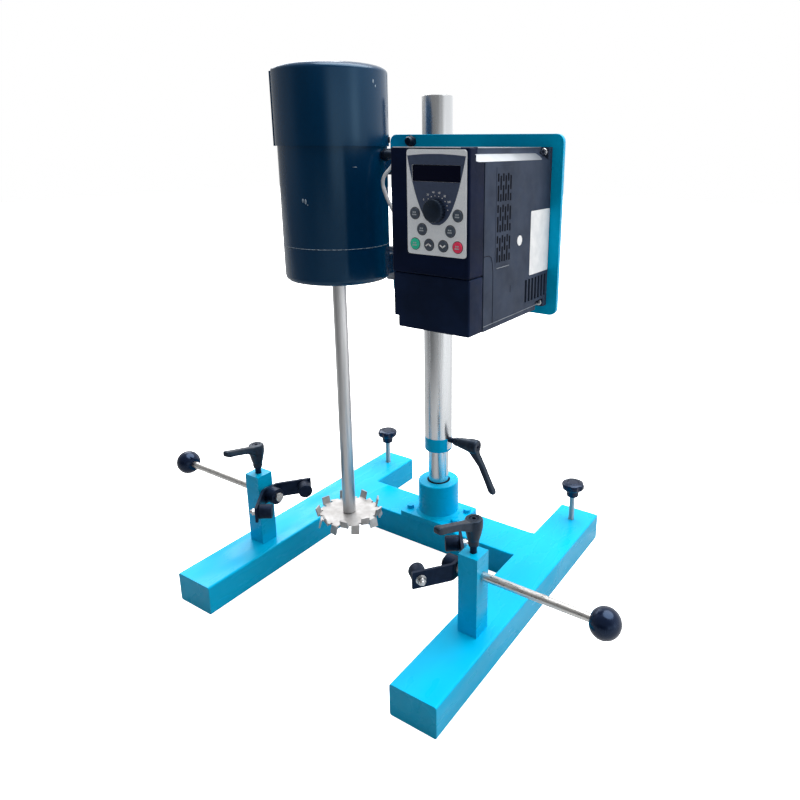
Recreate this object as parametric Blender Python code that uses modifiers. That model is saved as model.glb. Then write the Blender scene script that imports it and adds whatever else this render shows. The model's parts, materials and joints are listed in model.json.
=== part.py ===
"""Laboratory high-speed disperser on an H-shaped floor frame.

A motor and its speed drive hang on a plate that slides and turns on a column.
Two clamps on posts hold the vessel below the dispersing disc.
Metres, +Z up, front towards -Y. The origin lies under the column, on the cross beam's underside.
"""
import math

import bmesh
import bpy
from mathutils import Matrix, Vector

MM = 0.001
GAP = 0.3 * MM
THREAD_GAP = 0.3 * MM

# Floor frame: rectangular tube
FRAME_HEIGHT = 40 * MM
FRAME_WALL = 3 * MM
FRAME_CORNER = 2.5 * MM
RAIL_WIDTH = 60 * MM
RAIL_OFFSET = 174.7 * MM
RAIL_FRONT = -307.5 * MM
RAIL_BACK = 130 * MM
BEAM_WIDTH = 65 * MM
DRAIN_RADIUS = 4 * MM

# Column
FLANGE_LENGTH = 96 * MM
FLANGE_DEPTH = 68 * MM
FLANGE_THICKNESS = 8 * MM
FLANGE_BOLT_X = 40 * MM
FLANGE_BOLT_Y = 17.5 * MM
SOCKET_RADIUS = 30 * MM
SOCKET_TOP = 100 * MM
SOCKET_MOUTH = 2 * MM
WELD_SIZE = 4 * MM
ROD_RADIUS = 15 * MM
ROD_WALL = 3 * MM
ROD_TOP = 560 * MM
ROD_COLLAR_HEIGHT = 30 * MM
TUBE_RADIUS = 20 * MM
TUBE_WALL = 3 * MM
TUBE_BOTTOM = 151.2 * MM
TUBE_TOP = 641.4 * MM
BUSH_HEIGHT = 60 * MM
BUSH_INSET = 2 * MM

# Levers with a tapered hub and a raised arm
STUD_RADIUS = 4 * MM
LEVER_FOOT_RADIUS = 6.5 * MM
LEVER_HEAD_RADIUS = 10.5 * MM
LEVER_SCREW_RADIUS = 5.2 * MM
LEVER_SCREW_DEPTH = 4 * MM
LEVER_ARM_ROOT = 13 * MM
LEVER_ARM_TIP = 9 * MM
COLUMN_LEVER_HEIGHT = 168.5 * MM
COLUMN_LEVER_STANDOFF = 10 * MM
COLUMN_LEVER_HUB = 38 * MM
COLUMN_LEVER_REACH = 66 * MM
COLUMN_LEVER_RISE = 64 * MM
POST_LEVER_STANDOFF = 10 * MM
POST_LEVER_HUB = 33 * MM
POST_LEVER_REACH = 60 * MM
POST_LEVER_RISE = 44 * MM

# Vessel clamps on their posts
POST_SIDE = 25 * MM
POST_TOP = 142.6 * MM
POST_Y = -188.7 * MM
CLAMP_HEIGHT = 116 * MM
CLAMP_ROD_RADIUS = 5 * MM
CLAMP_ROD_REACH = 144 * MM
CLAMP_COLLAR_RADIUS = 8 * MM
CLAMP_COLLAR_LENGTH = 5.3 * MM
SPIGOT_RADIUS = 4 * MM
BALL_RADIUS = 17 * MM
BALL_FLAT_RADIUS = 9 * MM
BRACKET_HEIGHT = 21 * MM
BRACKET_THICKNESS = 3.5 * MM
BRACKET_FLAT = 12 * MM
BRACKET_SPREAD = 50 * MM
BRACKET_REACH = 29 * MM
BRACKET_BOSS_RADIUS = 11 * MM
BRACKET_BOSS_LENGTH = 14 * MM
BOSS_SCREW_RADIUS = 6 * MM
BOSS_SCREW_HEAD = 3.5 * MM
BUMPER_RADIUS = 9.5 * MM
BUMPER_LENGTH = 17 * MM
BUMPER_INSET = 10 * MM
BUMPER_STUD_RADIUS = 3 * MM

# Levelling screws at the rear of the rails
JACK_Y = 98.5 * MM
JACK_RADIUS = 4 * MM
JACK_TOP = 92 * MM
PAD_RADIUS = 10 * MM
PAD_HEIGHT = 6 * MM
PAD_CLEAR = 0.5 * MM
PAD_POCKET_DEPTH = 28 * MM
STAR_RADIUS = 16.7 * MM
STAR_LOBES = 6
STAR_LOBE_DEPTH = 2 * MM
STAR_TOP = 101 * MM
STAR_THICKNESS = 10.5 * MM
STAR_HUB_RADIUS = 9.2 * MM
STAR_HUB_BOTTOM = 78.7 * MM

# Mounting plate and its clamp on the column tube
PLATE_FRONT = -35.4 * MM
PLATE_THICKNESS = 6 * MM
PLATE_LEFT = -50 * MM
PLATE_RIGHT = 193 * MM
PLATE_MARGIN_BELOW = 20.4 * MM
PLATE_MARGIN_ABOVE = 17.5 * MM
PLATE_CORNER = 9 * MM
SADDLE_HALF_WIDTH = 33 * MM
SADDLE_INSET_BELOW = 16.4 * MM
SADDLE_INSET_ABOVE = 16.5 * MM
SADDLE_BACK = 27 * MM
SADDLE_BOLT_X = 26.5 * MM
SADDLE_BOLT_INSET = 65 * MM

# Motor
MOTOR_X = -75.6 * MM
MOTOR_Y = -116 * MM
MOTOR_RADIUS = 66 * MM
MOTOR_WALL = 5.3 * MM
MOTOR_BOTTOM = 417 * MM
BELL_HEIGHT = 45 * MM
BELL_FLOOR = 22 * MM
MOTOR_SHIELD_THICKNESS = 16 * MM
COWL_RADIUS = 68.3 * MM
COWL_LAP = 22 * MM
COWL_TOP = 671.5 * MM
COWL_CROWN = 9.5 * MM
COWL_CROWN_REACH = 22 * MM
COWL_DOME = 0.8 * MM
COWL_WALL = 2 * MM
COWL_SLOTS = 10
COWL_SLOT_START = 18 * MM
COWL_SLOT_END = 50 * MM
COWL_SLOT_WIDTH = 4 * MM
FAN_ROOM = 70.5 * MM
CORE_LIFT = 23 * MM
CORE_DROP = 41 * MM
ROTOR_CORE_RADIUS = 35.7 * MM
STATOR_BORE = 36.3 * MM
BEARING_RADIUS = 17.7 * MM
BEARING_HEIGHT = 12 * MM
FOOT_LEFT = -53 * MM
FOOT_RIGHT = -6 * MM
FOOT_THICKNESS = 10 * MM
FOOT_WEB_RIGHT = -27 * MM
FOOT_BOLT_X = -16 * MM
FOOT_BOLT_DEPTH = 14 * MM
UPPER_FOOT_DROP = 25 * MM
UPPER_FOOT_HEIGHT = 32 * MM
LOWER_FOOT_DROP = 11 * MM
LOWER_FOOT_HEIGHT = 44 * MM
FOOT_WEB_INSET = 5 * MM
FOOT_WEB_ROOT = 30 * MM

# Shaft and dispersing disc
SHAFT_RADIUS = 9 * MM
SHAFT_TOP_RADIUS = 7 * MM
SHAFT_END = 6 * MM
DISC_HEIGHT = 77.5 * MM
DISC_THICKNESS = 2 * MM
DISC_RADIUS = 41.5 * MM
DISC_TEETH = 18
DISC_PHASE = 22.6
TOOTH_WIDTH = 11.4 * MM
TOOTH_HEIGHT = 11 * MM
TOOTH_RELIEF = 3.4 * MM
TOOTH_RELIEF_DEPTH = 4 * MM
TOOTH_ANGLE = -22
TOOTH_FLARE = 16
DISC_SPIGOT_RADIUS = 6 * MM
DISC_SPIGOT_LENGTH = 12 * MM
DISC_NUT_HEIGHT = 6 * MM
FAN_BLADES = 8
FAN_RADIUS = 56 * MM
FAN_LIFT = 5 * MM
FAN_HEIGHT = 16 * MM

# Speed drive
DRIVE_LEFT = 88 * MM
DRIVE_RIGHT = 180 * MM
DRIVE_BOTTOM = 398 * MM
DRIVE_TOP = 579 * MM
DRIVE_FRONT = -213 * MM
COVER_DEPTH = 27.7 * MM
COVER_SPLIT = 456 * MM
DRIVE_WALL = 2.5 * MM
DRIVE_EDGE = 2 * MM
SHELF_WIDTH = 9 * MM
SHELF_HEIGHT = 6.5 * MM
SHELF_SLOPE = 7 * MM
EAR_NOTCH = 10 * MM
EAR_THICKNESS = 10 * MM
VENT_WIDTH = 3 * MM
VENT_COLUMNS = 4
VENT_PITCH = 9 * MM
VENT_FRONT = -159 * MM
VENT_ROWS = 3
VENT_BOTTOM = 466 * MM
VENT_DASHES = 4
VENT_DASH = 5.8 * MM
VENT_BRIDGE = 1.4 * MM
VENT_STAGGER = 1.8 * MM
VENT_ROW_PITCH = 30.6 * MM
SLOT_COUNT = 7
SLOT_FRONT = -91 * MM
SLOT_WIDTH = 4.6 * MM
SLOT_PITCH = 8 * MM
SLOT_BOTTOM = 411 * MM
SLOT_HEIGHT = 26 * MM
CABLE_NOTCH = 6 * MM

# Keypad
KEYPAD_LEFT = 108.6 * MM
KEYPAD_RIGHT = 177 * MM
KEYPAD_BOTTOM = 476.8 * MM
KEYPAD_TOP = 577 * MM
KEYPAD_PROUD = 0.8 * MM
KEYPAD_POCKET = 5 * MM
KEYPAD_CORNER = 3 * MM
DISPLAY_WIDTH = 55 * MM
DISPLAY_HEIGHT = 15.2 * MM
DISPLAY_CENTRE = 555 * MM
DISPLAY_DEPTH = 1.6 * MM
KEY_RADIUS = 5.3 * MM
KEY_PROUD = 1.3 * MM
KEY_STROKE = 0.8 * MM
KEY_PITCH = 16.55 * MM
KEY_ROW_LOW = 486.9 * MM
KEY_ROW_MIDDLE = 501.6 * MM
KEY_ROW_HIGH = 516.7 * MM
DIAL_RADIUS = 11.5 * MM
DIAL_HEIGHT = 8 * MM
DIAL_CENTRE = 520.5 * MM
DIAL_STEM_RADIUS = 3 * MM

# Lead between the motor and the drive
LEAD_RADIUS = 2.7 * MM
GLAND_LENGTH = 15 * MM
GLAND_RADIUS = 7 * MM
MOTOR_GLAND_Y = -100 * MM
MOTOR_GLAND_DROP = 32 * MM
DRIVE_GLAND_Y = -110 * MM
DRIVE_GLAND_Z = 450 * MM
LEAD_ROUTE = (
    (12, -109, 559),
    (3, -119, 543),
    (8, -121, 526),
    (19, -118, 503),
    (35, -113, 480),
    (52, -111, 460),
)

# Derived places
RAIL_INNER = RAIL_OFFSET - RAIL_WIDTH / 2
RAIL_LENGTH = RAIL_BACK - RAIL_FRONT
FLANGE_BOTTOM = FRAME_HEIGHT + GAP
FLANGE_TOP = FLANGE_BOTTOM + FLANGE_THICKNESS
TUBE_BORE = TUBE_RADIUS - TUBE_WALL
BUSH_RADIUS = TUBE_BORE - GAP
POST_BOTTOM = FRAME_HEIGHT + GAP
POST_INNER = RAIL_OFFSET - POST_SIDE / 2
POST_OUTER = RAIL_OFFSET + POST_SIDE / 2
COLLAR_START = POST_INNER - GAP
BRACKET_OUTER = COLLAR_START - CLAMP_COLLAR_LENGTH - GAP
BRACKET_INNER = BRACKET_OUTER - BRACKET_THICKNESS
BOSS_END = BRACKET_INNER - BRACKET_BOSS_LENGTH
BALL_CENTRE = POST_OUTER + CLAMP_ROD_REACH
POST_LEVER_BASE = POST_TOP + POST_LEVER_STANDOFF
PLATE_BACK = PLATE_FRONT + PLATE_THICKNESS
MOTOR_SEAM = MOTOR_BOTTOM + BELL_HEIGHT
MOTOR_SHIELD_TOP = COWL_TOP - FAN_ROOM
COWL_BOTTOM = MOTOR_SHIELD_TOP - COWL_LAP
CORE_BOTTOM = MOTOR_SEAM + CORE_LIFT
CORE_TOP = MOTOR_SHIELD_TOP - CORE_DROP
FAN_BOTTOM = MOTOR_SHIELD_TOP + FAN_LIFT
SHAFT_TOP = FAN_BOTTOM + FAN_HEIGHT + SHAFT_END
UPPER_FOOT_TOP = MOTOR_SHIELD_TOP - UPPER_FOOT_DROP
UPPER_FOOT = (UPPER_FOOT_TOP - UPPER_FOOT_HEIGHT, UPPER_FOOT_TOP)
UPPER_WEB = (UPPER_FOOT[0] + FOOT_WEB_INSET, UPPER_FOOT[1] - FOOT_WEB_INSET)
LOWER_FOOT_BOTTOM = MOTOR_BOTTOM - LOWER_FOOT_DROP
LOWER_FOOT = (LOWER_FOOT_BOTTOM, LOWER_FOOT_BOTTOM + LOWER_FOOT_HEIGHT)
LOWER_WEB = (MOTOR_BOTTOM + 3 * MM, LOWER_FOOT[1] - FOOT_WEB_INSET)
MOTOR_GLAND_Z = MOTOR_SHIELD_TOP - MOTOR_GLAND_DROP
PLATE_BOTTOM = LOWER_FOOT[0] - PLATE_MARGIN_BELOW
PLATE_TOP = UPPER_FOOT[1] + PLATE_MARGIN_ABOVE
SADDLE_BOTTOM = PLATE_BOTTOM + SADDLE_INSET_BELOW
SADDLE_TOP = PLATE_TOP - SADDLE_INSET_ABOVE
MOTOR_AXIS = (MOTOR_X, MOTOR_Y, 0)
MOTOR_BORE = MOTOR_RADIUS - MOTOR_WALL
COVER_BACK = DRIVE_FRONT + COVER_DEPTH
DRIVE_BACK = PLATE_FRONT - GAP
KEYPAD_CENTRE = (KEYPAD_LEFT + KEYPAD_RIGHT) / 2
KEYPAD_FACE = DRIVE_FRONT - KEYPAD_PROUD
POCKET_FLOOR = DRIVE_FRONT + KEYPAD_POCKET
MOTOR_GLAND_REACH = (MOTOR_RADIUS ** 2 - (MOTOR_GLAND_Y - MOTOR_Y) ** 2) ** 0.5
MOTOR_GLAND = Vector((MOTOR_X + MOTOR_GLAND_REACH + 1.5 * MM, MOTOR_GLAND_Y, MOTOR_GLAND_Z))
DRIVE_GLAND = Vector((DRIVE_LEFT - GAP, DRIVE_GLAND_Y, DRIVE_GLAND_Z))

# Places on the keypad: column offset in key pitches, height of the row
KEYS = {
    "run_button": (-1.5, KEY_ROW_LOW),
    "up_button": (-0.5, KEY_ROW_LOW),
    "down_button": (0.5, KEY_ROW_LOW),
    "stop_button": (1.5, KEY_ROW_LOW),
    "menu_button": (-1.0, KEY_ROW_MIDDLE),
    "enter_button": (1.0, KEY_ROW_MIDDLE),
    "shift_button": (-1.5, KEY_ROW_HIGH),
    "jog_button": (1.5, KEY_ROW_HIGH),
}


def clear_scene():
    for old in list(bpy.data.objects):
        bpy.data.objects.remove(old)


def new_collection(name):
    group = bpy.data.collections.new(name)
    bpy.context.scene.collection.children.link(group)
    return group


def srgb(code):
    """Linear colour of an sRGB hex code."""
    values = [int(code[i:i + 2], 16) / 255 for i in (0, 2, 4)]
    linear = [v / 12.92 if v <= 0.04045 else ((v + 0.055) / 1.055) ** 2.4 for v in values]
    return (*linear, 1.0)


def make_material(name, code, roughness, metallic=0.0):
    material = bpy.data.materials.new(name)
    material.use_nodes = True
    shader = material.node_tree.nodes["Principled BSDF"]
    shader.inputs["Base Color"].default_value = srgb(code)
    shader.inputs["Roughness"].default_value = roughness
    shader.inputs["Metallic"].default_value = metallic
    return material


clear_scene()
PARTS = new_collection("lab_disperser")
CUTTERS = new_collection("cutters")

BLUE_PAINT = make_material("blue_paint", "0A9FC8", 0.35)
CHROME = make_material("chrome_tube", "C4C6C8", 0.12, 1.0)
BRIGHT_STEEL = make_material("bright_steel", "B0B2B3", 0.25, 1.0)
ZINC_STEEL = make_material("zinc_plated_steel", "A8ABAE", 0.3, 1.0)
BLACK_PLASTIC = make_material("black_plastic", "17191D", 0.45)
BLACK_BALL = make_material("black_phenolic", "0C0E12", 0.15)
BLACK_STEEL = make_material("black_painted_steel", "15181C", 0.4)
RUBBER = make_material("black_rubber", "101113", 0.7)
NAVY_PAINT = make_material("navy_paint", "06283E", 0.25)
BRONZE = make_material("bronze_bush", "A67C45", 0.35, 1.0)
LAMINATION = make_material("core_steel", "5E6064", 0.4, 1.0)
DRIVE_BLACK = make_material("drive_front_plastic", "0F1A2A", 0.4)
DRIVE_GREY = make_material("drive_side_plastic", "3C4046", 0.5)
KEYPAD_SILVER = make_material("keypad_silver", "A5A8AC", 0.35, 0.3)
DISPLAY_DARK = make_material("display_window", "06080C", 0.08)
KEY_SLATE = make_material("key_slate", "343C46", 0.4)
KEY_GREEN = make_material("key_green", "1FA884", 0.4)
KEY_RED = make_material("key_red", "CD2346", 0.4)
LEAD_GREY = make_material("lead_sheath", "D8DADC", 0.45)
NYLON = make_material("black_nylon", "101215", 0.4)


def add_box(bm, low, high):
    """Box between two corners."""
    low, high = Vector(low), Vector(high)
    size = high - low
    matrix = Matrix.Translation((low + high) / 2) @ Matrix.Diagonal((*size, 1.0))
    return bmesh.ops.create_cube(bm, size=1.0, matrix=matrix)["verts"]


def add_round(bm, radius, start, end, segments=24, end_radius=None, turn=0.0):
    """Cylinder, cone or prism from one point to another."""
    start, end = Vector(start), Vector(end)
    along = end - start
    facing = along.to_track_quat("Z", "Y").to_matrix().to_4x4()
    matrix = Matrix.Translation((start + end) / 2) @ facing @ Matrix.Rotation(turn, 4, "Z")
    bmesh.ops.create_cone(
        bm,
        cap_ends=True,
        segments=segments,
        radius1=radius,
        radius2=radius if end_radius is None else end_radius,
        depth=along.length,
        matrix=matrix,
    )


def bevel_along(bm, axis, width, segments=4):
    """Round the edges that run along one axis."""
    chosen = []
    for edge in bm.edges:
        run = (edge.verts[0].co - edge.verts[1].co).normalized()
        if abs(run[axis]) > 0.999:
            chosen.append(edge)
    bmesh.ops.bevel(bm, geom=chosen, offset=width, segments=segments, affect="EDGES", profile=0.5)


def shade(mesh):
    mesh.shade_smooth()
    mesh.set_sharp_from_angle(angle=math.radians(35))


def make_object(bm, name, group, origin):
    origin = Vector(origin)
    bmesh.ops.translate(bm, verts=bm.verts, vec=-origin)
    mesh = bpy.data.meshes.new(name)
    bm.to_mesh(mesh)
    bm.free()
    shade(mesh)
    made = bpy.data.objects.new(name, mesh)
    made.location = origin
    group.objects.link(made)
    return made


def finish(bm, name, material, origin=(0, 0, 0)):
    """Turn a bmesh in world coordinates into a part whose origin lies at a given point."""
    part = make_object(bm, name, PARTS, origin)
    part.data.materials.append(material)
    return part


def finish_tool(bm, name, origin=(0, 0, 0)):
    """Turn a bmesh into a helper shape for a Boolean."""
    tool = make_object(bm, name, CUTTERS, origin)
    hide_tool(tool)
    return tool


def hide_tool(tool):
    tool.hide_render = True
    tool.display_type = "WIRE"


def combine(part, tool, operation):
    change = part.modifiers.new(tool.name, "BOOLEAN")
    change.operation = operation
    change.solver = "EXACT"
    change.object = tool


def cut(part, tool):
    combine(part, tool, "DIFFERENCE")


def join(part, tool):
    combine(part, tool, "UNION")


def round_edges(part, width, segments=2):
    change = part.modifiers.new("rounded_edges", "BEVEL")
    change.width = width
    change.segments = segments
    change.limit_method = "ANGLE"
    change.angle_limit = math.radians(40)
    return change


def profile_mesh(name, profile, closed):
    mesh = bpy.data.meshes.new(name)
    count = len(profile)
    edges = [(i, i + 1) for i in range(count - 1)]
    if closed:
        edges.append((count - 1, 0))
    mesh.from_pydata([(radius, 0.0, height) for radius, height in profile], edges, [])
    return mesh


def turned(name, profile, material=None, origin=(0, 0, 0), turn=None, steps=32, closed=False):
    """Turn a profile of radius and height about its own Z axis."""
    mesh = profile_mesh(name, profile, closed)
    made = bpy.data.objects.new(name, mesh)
    made.location = origin
    if turn is not None:
        made.rotation_euler = turn
    screw = made.modifiers.new("turn", "SCREW")
    screw.steps = steps
    screw.render_steps = steps
    screw.use_merge_vertices = True
    screw.merge_threshold = 0.00001
    if material is None:
        CUTTERS.objects.link(made)
        hide_tool(made)
    else:
        PARTS.objects.link(made)
        mesh.materials.append(material)
    return made


def arc(radius, centre_r, centre_z, start, end, count):
    """Points of an arc in a turned profile, angles in degrees from the +R axis."""
    points = []
    for step in range(count + 1):
        angle = math.radians(start + (end - start) * step / count)
        points.append((centre_r + radius * math.cos(angle), centre_z + radius * math.sin(angle)))
    return points


def pivot(name, place):
    """Empty on a joint's axis."""
    empty = bpy.data.objects.new(name, None)
    empty.location = place
    PARTS.objects.link(empty)
    return empty


def carry(empty, *pieces):
    for piece in pieces:
        piece.parent = empty
        piece.matrix_parent_inverse = Matrix.Translation(-empty.location)


def side_name(side):
    return "left" if side < 0 else "right"


def build_rail(side):
    """Closed box tube with a solid web around the levelling screw."""
    centre = side * RAIL_OFFSET
    half = RAIL_WIDTH / 2
    web_half = PAD_RADIUS + 4 * MM
    bm = bmesh.new()
    add_box(bm, (centre - half, RAIL_FRONT, 0), (centre + half, RAIL_BACK, FRAME_HEIGHT))
    bevel_along(bm, 1, FRAME_CORNER, 3)
    rail = finish(bm, side_name(side) + "_rail", BLUE_PAINT)
    inside = half - FRAME_WALL
    spans = (
        (RAIL_FRONT + FRAME_WALL, JACK_Y - web_half),
        (JACK_Y + web_half, RAIL_BACK - FRAME_WALL),
    )
    bm = bmesh.new()
    for start, end in spans:
        add_box(bm, (centre - inside, start, FRAME_WALL), (centre + inside, end, FRAME_HEIGHT - FRAME_WALL))
    hollow = finish_tool(bm, rail.name + "_hollow")
    bm = bmesh.new()
    for start, end in spans:
        drain = (start + end) / 2
        add_round(bm, DRAIN_RADIUS, (centre, drain, -FRAME_WALL), (centre, drain, 2 * FRAME_WALL), 12)
    drains = finish_tool(bm, rail.name + "_drains")
    bm = bmesh.new()
    thread = JACK_RADIUS + THREAD_GAP
    add_round(bm, thread, (centre, JACK_Y, -FRAME_WALL), (centre, JACK_Y, 2 * FRAME_HEIGHT), 12)
    screw_hole = finish_tool(bm, rail.name + "_screw_hole")
    bm = bmesh.new()
    add_round(bm, PAD_RADIUS + MM, (centre, JACK_Y, -FRAME_WALL), (centre, JACK_Y, PAD_POCKET_DEPTH), 20)
    pocket = finish_tool(bm, rail.name + "_pad_pocket")
    for tool in (hollow, drains, screw_hole, pocket):
        cut(rail, tool)


def flange_bolt_places():
    return [(sx * FLANGE_BOLT_X, sy * FLANGE_BOLT_Y) for sx in (-1, 1) for sy in (-1, 1)]


def build_cross_beam():
    reach = RAIL_INNER - GAP
    half = BEAM_WIDTH / 2
    bm = bmesh.new()
    add_box(bm, (-reach, -half, 0), (reach, half, FRAME_HEIGHT))
    bevel_along(bm, 0, FRAME_CORNER, 2)
    beam = finish(bm, "cross_beam", BLUE_PAINT)
    inside = half - FRAME_WALL
    bm = bmesh.new()
    add_box(bm, (-2 * reach, -inside, FRAME_WALL), (2 * reach, inside, FRAME_HEIGHT - FRAME_WALL))
    cut(beam, finish_tool(bm, "cross_beam_hollow"))
    bm = bmesh.new()
    for x, y in flange_bolt_places():
        add_round(bm, BUMPER_STUD_RADIUS + THREAD_GAP, (x, y, FRAME_HEIGHT / 2), (x, y, FLANGE_TOP), 8)
    cut(beam, finish_tool(bm, "cross_beam_bolt_holes"))


def build_column_socket():
    """Flange plate with the welded socket tube that holds the column, and its four bolts."""
    bm = bmesh.new()
    length, depth = FLANGE_LENGTH / 2, FLANGE_DEPTH / 2
    add_box(bm, (-length, -depth, FLANGE_BOTTOM), (length, depth, FLANGE_TOP))
    bevel_along(bm, 2, 4 * MM, 3)
    socket = finish(bm, "column_socket", BLUE_PAINT)
    body_profile = [
        (0, SOCKET_TOP),
        (SOCKET_RADIUS - MM, SOCKET_TOP),
        (SOCKET_RADIUS, SOCKET_TOP - MM),
        (SOCKET_RADIUS, FLANGE_TOP + WELD_SIZE),
        (SOCKET_RADIUS + WELD_SIZE, FLANGE_TOP),
        (SOCKET_RADIUS + WELD_SIZE, FLANGE_TOP - MM),
        (0, FLANGE_TOP - MM),
    ]
    join(socket, turned("socket_tube", body_profile, steps=28))
    bore = ROD_RADIUS + GAP
    bore_profile = [
        (0, SOCKET_TOP + MM),
        (bore + SOCKET_MOUTH + MM, SOCKET_TOP + MM),
        (bore, SOCKET_TOP - SOCKET_MOUTH),
        (bore, FLANGE_BOTTOM - MM),
        (0, FLANGE_BOTTOM - MM),
    ]
    cut(socket, turned("socket_bore", bore_profile, steps=28))
    heads, shanks = bmesh.new(), bmesh.new()
    for x, y in flange_bolt_places():
        sunk = FLANGE_TOP - MM
        add_round(heads, 5.8 * MM, (x, y, sunk), (x, y, sunk + 6 * MM), 6, turn=0.4 + x * 20)
        add_round(shanks, BUMPER_STUD_RADIUS, (x, y, FRAME_HEIGHT - 9 * MM), (x, y, sunk), 8)
    join(socket, finish_tool(heads, "flange_bolt_heads"))
    join(socket, finish_tool(shanks, "flange_bolt_shanks"))


def build_column():
    inner = ROD_RADIUS - ROD_WALL
    collar_bottom = ROD_TOP - ROD_COLLAR_HEIGHT
    profile = [
        (BUSH_RADIUS - MM, ROD_TOP),
        (BUSH_RADIUS, ROD_TOP - MM),
        (BUSH_RADIUS, collar_bottom),
        (ROD_RADIUS, collar_bottom),
        (ROD_RADIUS, FLANGE_BOTTOM),
        (inner, FLANGE_BOTTOM),
        (inner, ROD_TOP),
    ]
    turned("inner_column", profile, CHROME, steps=28, closed=True)


def build_guide_bush():
    bottom = TUBE_BOTTOM + BUSH_INSET
    bore = ROD_RADIUS + GAP
    profile = [
        (BUSH_RADIUS, bottom + BUSH_HEIGHT),
        (BUSH_RADIUS, bottom),
        (bore, bottom),
        (bore, bottom + BUSH_HEIGHT),
    ]
    bush = turned("guide_bush", profile, BRONZE, steps=28, closed=True)
    carry(pivot("lift_axis", (0, 0, 0)), bush)


def build_outer_tube():
    cap_bottom = TUBE_TOP - 1.5 * TUBE_WALL
    profile = [
        (0, TUBE_TOP),
        (TUBE_RADIUS - MM, TUBE_TOP),
        (TUBE_RADIUS, TUBE_TOP - MM),
        (TUBE_RADIUS, TUBE_BOTTOM + 0.5 * MM),
        (TUBE_RADIUS - 0.5 * MM, TUBE_BOTTOM),
        (TUBE_BORE, TUBE_BOTTOM),
        (TUBE_BORE, cap_bottom),
        (0, cap_bottom),
    ]
    tube = turned("outer_tube", profile, CHROME, steps=28)
    bm = bmesh.new()
    add_round(
        bm,
        STUD_RADIUS + THREAD_GAP,
        (ROD_RADIUS, 0, COLUMN_LEVER_HEIGHT),
        (2 * TUBE_RADIUS, 0, COLUMN_LEVER_HEIGHT),
        20,
    )
    cut(tube, finish_tool(bm, "outer_tube_stud_hole"))
    return tube


def build_lever(name, place, turn, hub, reach, rise, standoff, stud_length):
    """Clamping lever: tapered hub, raised arm, and a stud with its socket screw head.

    Built along its own Z axis, with the hub's foot at its origin.
    """
    profile = [
        (0, hub),
        (LEVER_HEAD_RADIUS - 1.5 * MM, hub),
        (LEVER_HEAD_RADIUS, hub - 1.5 * MM),
        (LEVER_HEAD_RADIUS, hub - 12 * MM),
        (LEVER_FOOT_RADIUS + MM, 8 * MM),
        (LEVER_FOOT_RADIUS, 6 * MM),
        (LEVER_FOOT_RADIUS, 0),
        (0, 0),
    ]
    handle = turned(name, profile, BLACK_PLASTIC, origin=place, turn=turn, steps=16)
    arm = bmesh.new()
    root_half, tip_half = LEVER_ARM_ROOT / 2, LEVER_ARM_TIP / 2
    root_height = hub - 1.05 * LEVER_ARM_ROOT / 2
    corners = add_box(arm, (0, -root_half, -root_half), (reach, root_half, root_half))
    for vert in corners:
        if vert.co.x > reach / 2:
            vert.co.y *= tip_half / root_half
            vert.co.z = rise + vert.co.z * tip_half / root_half
        else:
            vert.co.z += root_height
    arm_tool = finish_tool(arm, name + "_arm")
    round_edges(arm_tool, 2.2 * MM, 1)
    bore = bmesh.new()
    add_round(bore, STUD_RADIUS + THREAD_GAP, (0, 0, -MM), (0, 0, 2 * hub), 12)
    bore_tool = finish_tool(bore, name + "_bore")
    recess = bmesh.new()
    add_round(recess, LEVER_SCREW_RADIUS + GAP, (0, 0, hub - LEVER_SCREW_DEPTH), (0, 0, 2 * hub), 16)
    recess_tool = finish_tool(recess, name + "_recess")
    for tool in (arm_tool, bore_tool, recess_tool):
        tool.parent = handle
    join(handle, arm_tool)
    cut(handle, bore_tool)
    cut(handle, recess_tool)
    stud_profile = [
        (0, hub - 0.5 * MM),
        (LEVER_SCREW_RADIUS, hub - 0.5 * MM),
        (LEVER_SCREW_RADIUS, hub - LEVER_SCREW_DEPTH + GAP),
        (STUD_RADIUS, hub - LEVER_SCREW_DEPTH + GAP),
        (STUD_RADIUS, -stud_length),
        (0, -stud_length),
    ]
    stud = turned(name + "_stud", stud_profile, BLACK_STEEL, origin=place, turn=turn, steps=12)
    return handle, stud


def build_column_lever():
    """Lever that pinches the split guide bush on the column."""
    place = (TUBE_RADIUS + COLUMN_LEVER_STANDOFF, 0, COLUMN_LEVER_HEIGHT)
    stud_length = place[0] - BUSH_RADIUS - GAP
    pieces = build_lever(
        "column_lever",
        place,
        (0, math.radians(90), 0),
        COLUMN_LEVER_HUB,
        COLUMN_LEVER_REACH,
        COLUMN_LEVER_RISE,
        COLUMN_LEVER_STANDOFF,
        stud_length,
    )
    carry(pivot("column_lever_axis", place), *pieces)


def build_post(side):
    """Square bar with a cross bore for the clamp rod and a tapped hole for its lever."""
    centre = side * RAIL_OFFSET
    half = POST_SIDE / 2
    bm = bmesh.new()
    add_box(bm, (centre - half, POST_Y - half, POST_BOTTOM), (centre + half, POST_Y + half, POST_TOP))
    post = finish(bm, side_name(side) + "_post", BLUE_PAINT)
    bm = bmesh.new()
    add_round(
        bm,
        CLAMP_ROD_RADIUS + GAP,
        (centre - POST_SIDE, POST_Y, CLAMP_HEIGHT),
        (centre + POST_SIDE, POST_Y, CLAMP_HEIGHT),
        24,
    )
    cut(post, finish_tool(bm, post.name + "_rod_bore"))
    bm = bmesh.new()
    add_round(
        bm,
        STUD_RADIUS + THREAD_GAP,
        (centre, POST_Y, CLAMP_HEIGHT),
        (centre, POST_Y, POST_TOP + POST_SIDE),
        20,
    )
    cut(post, finish_tool(bm, post.name + "_stud_hole"))


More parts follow.
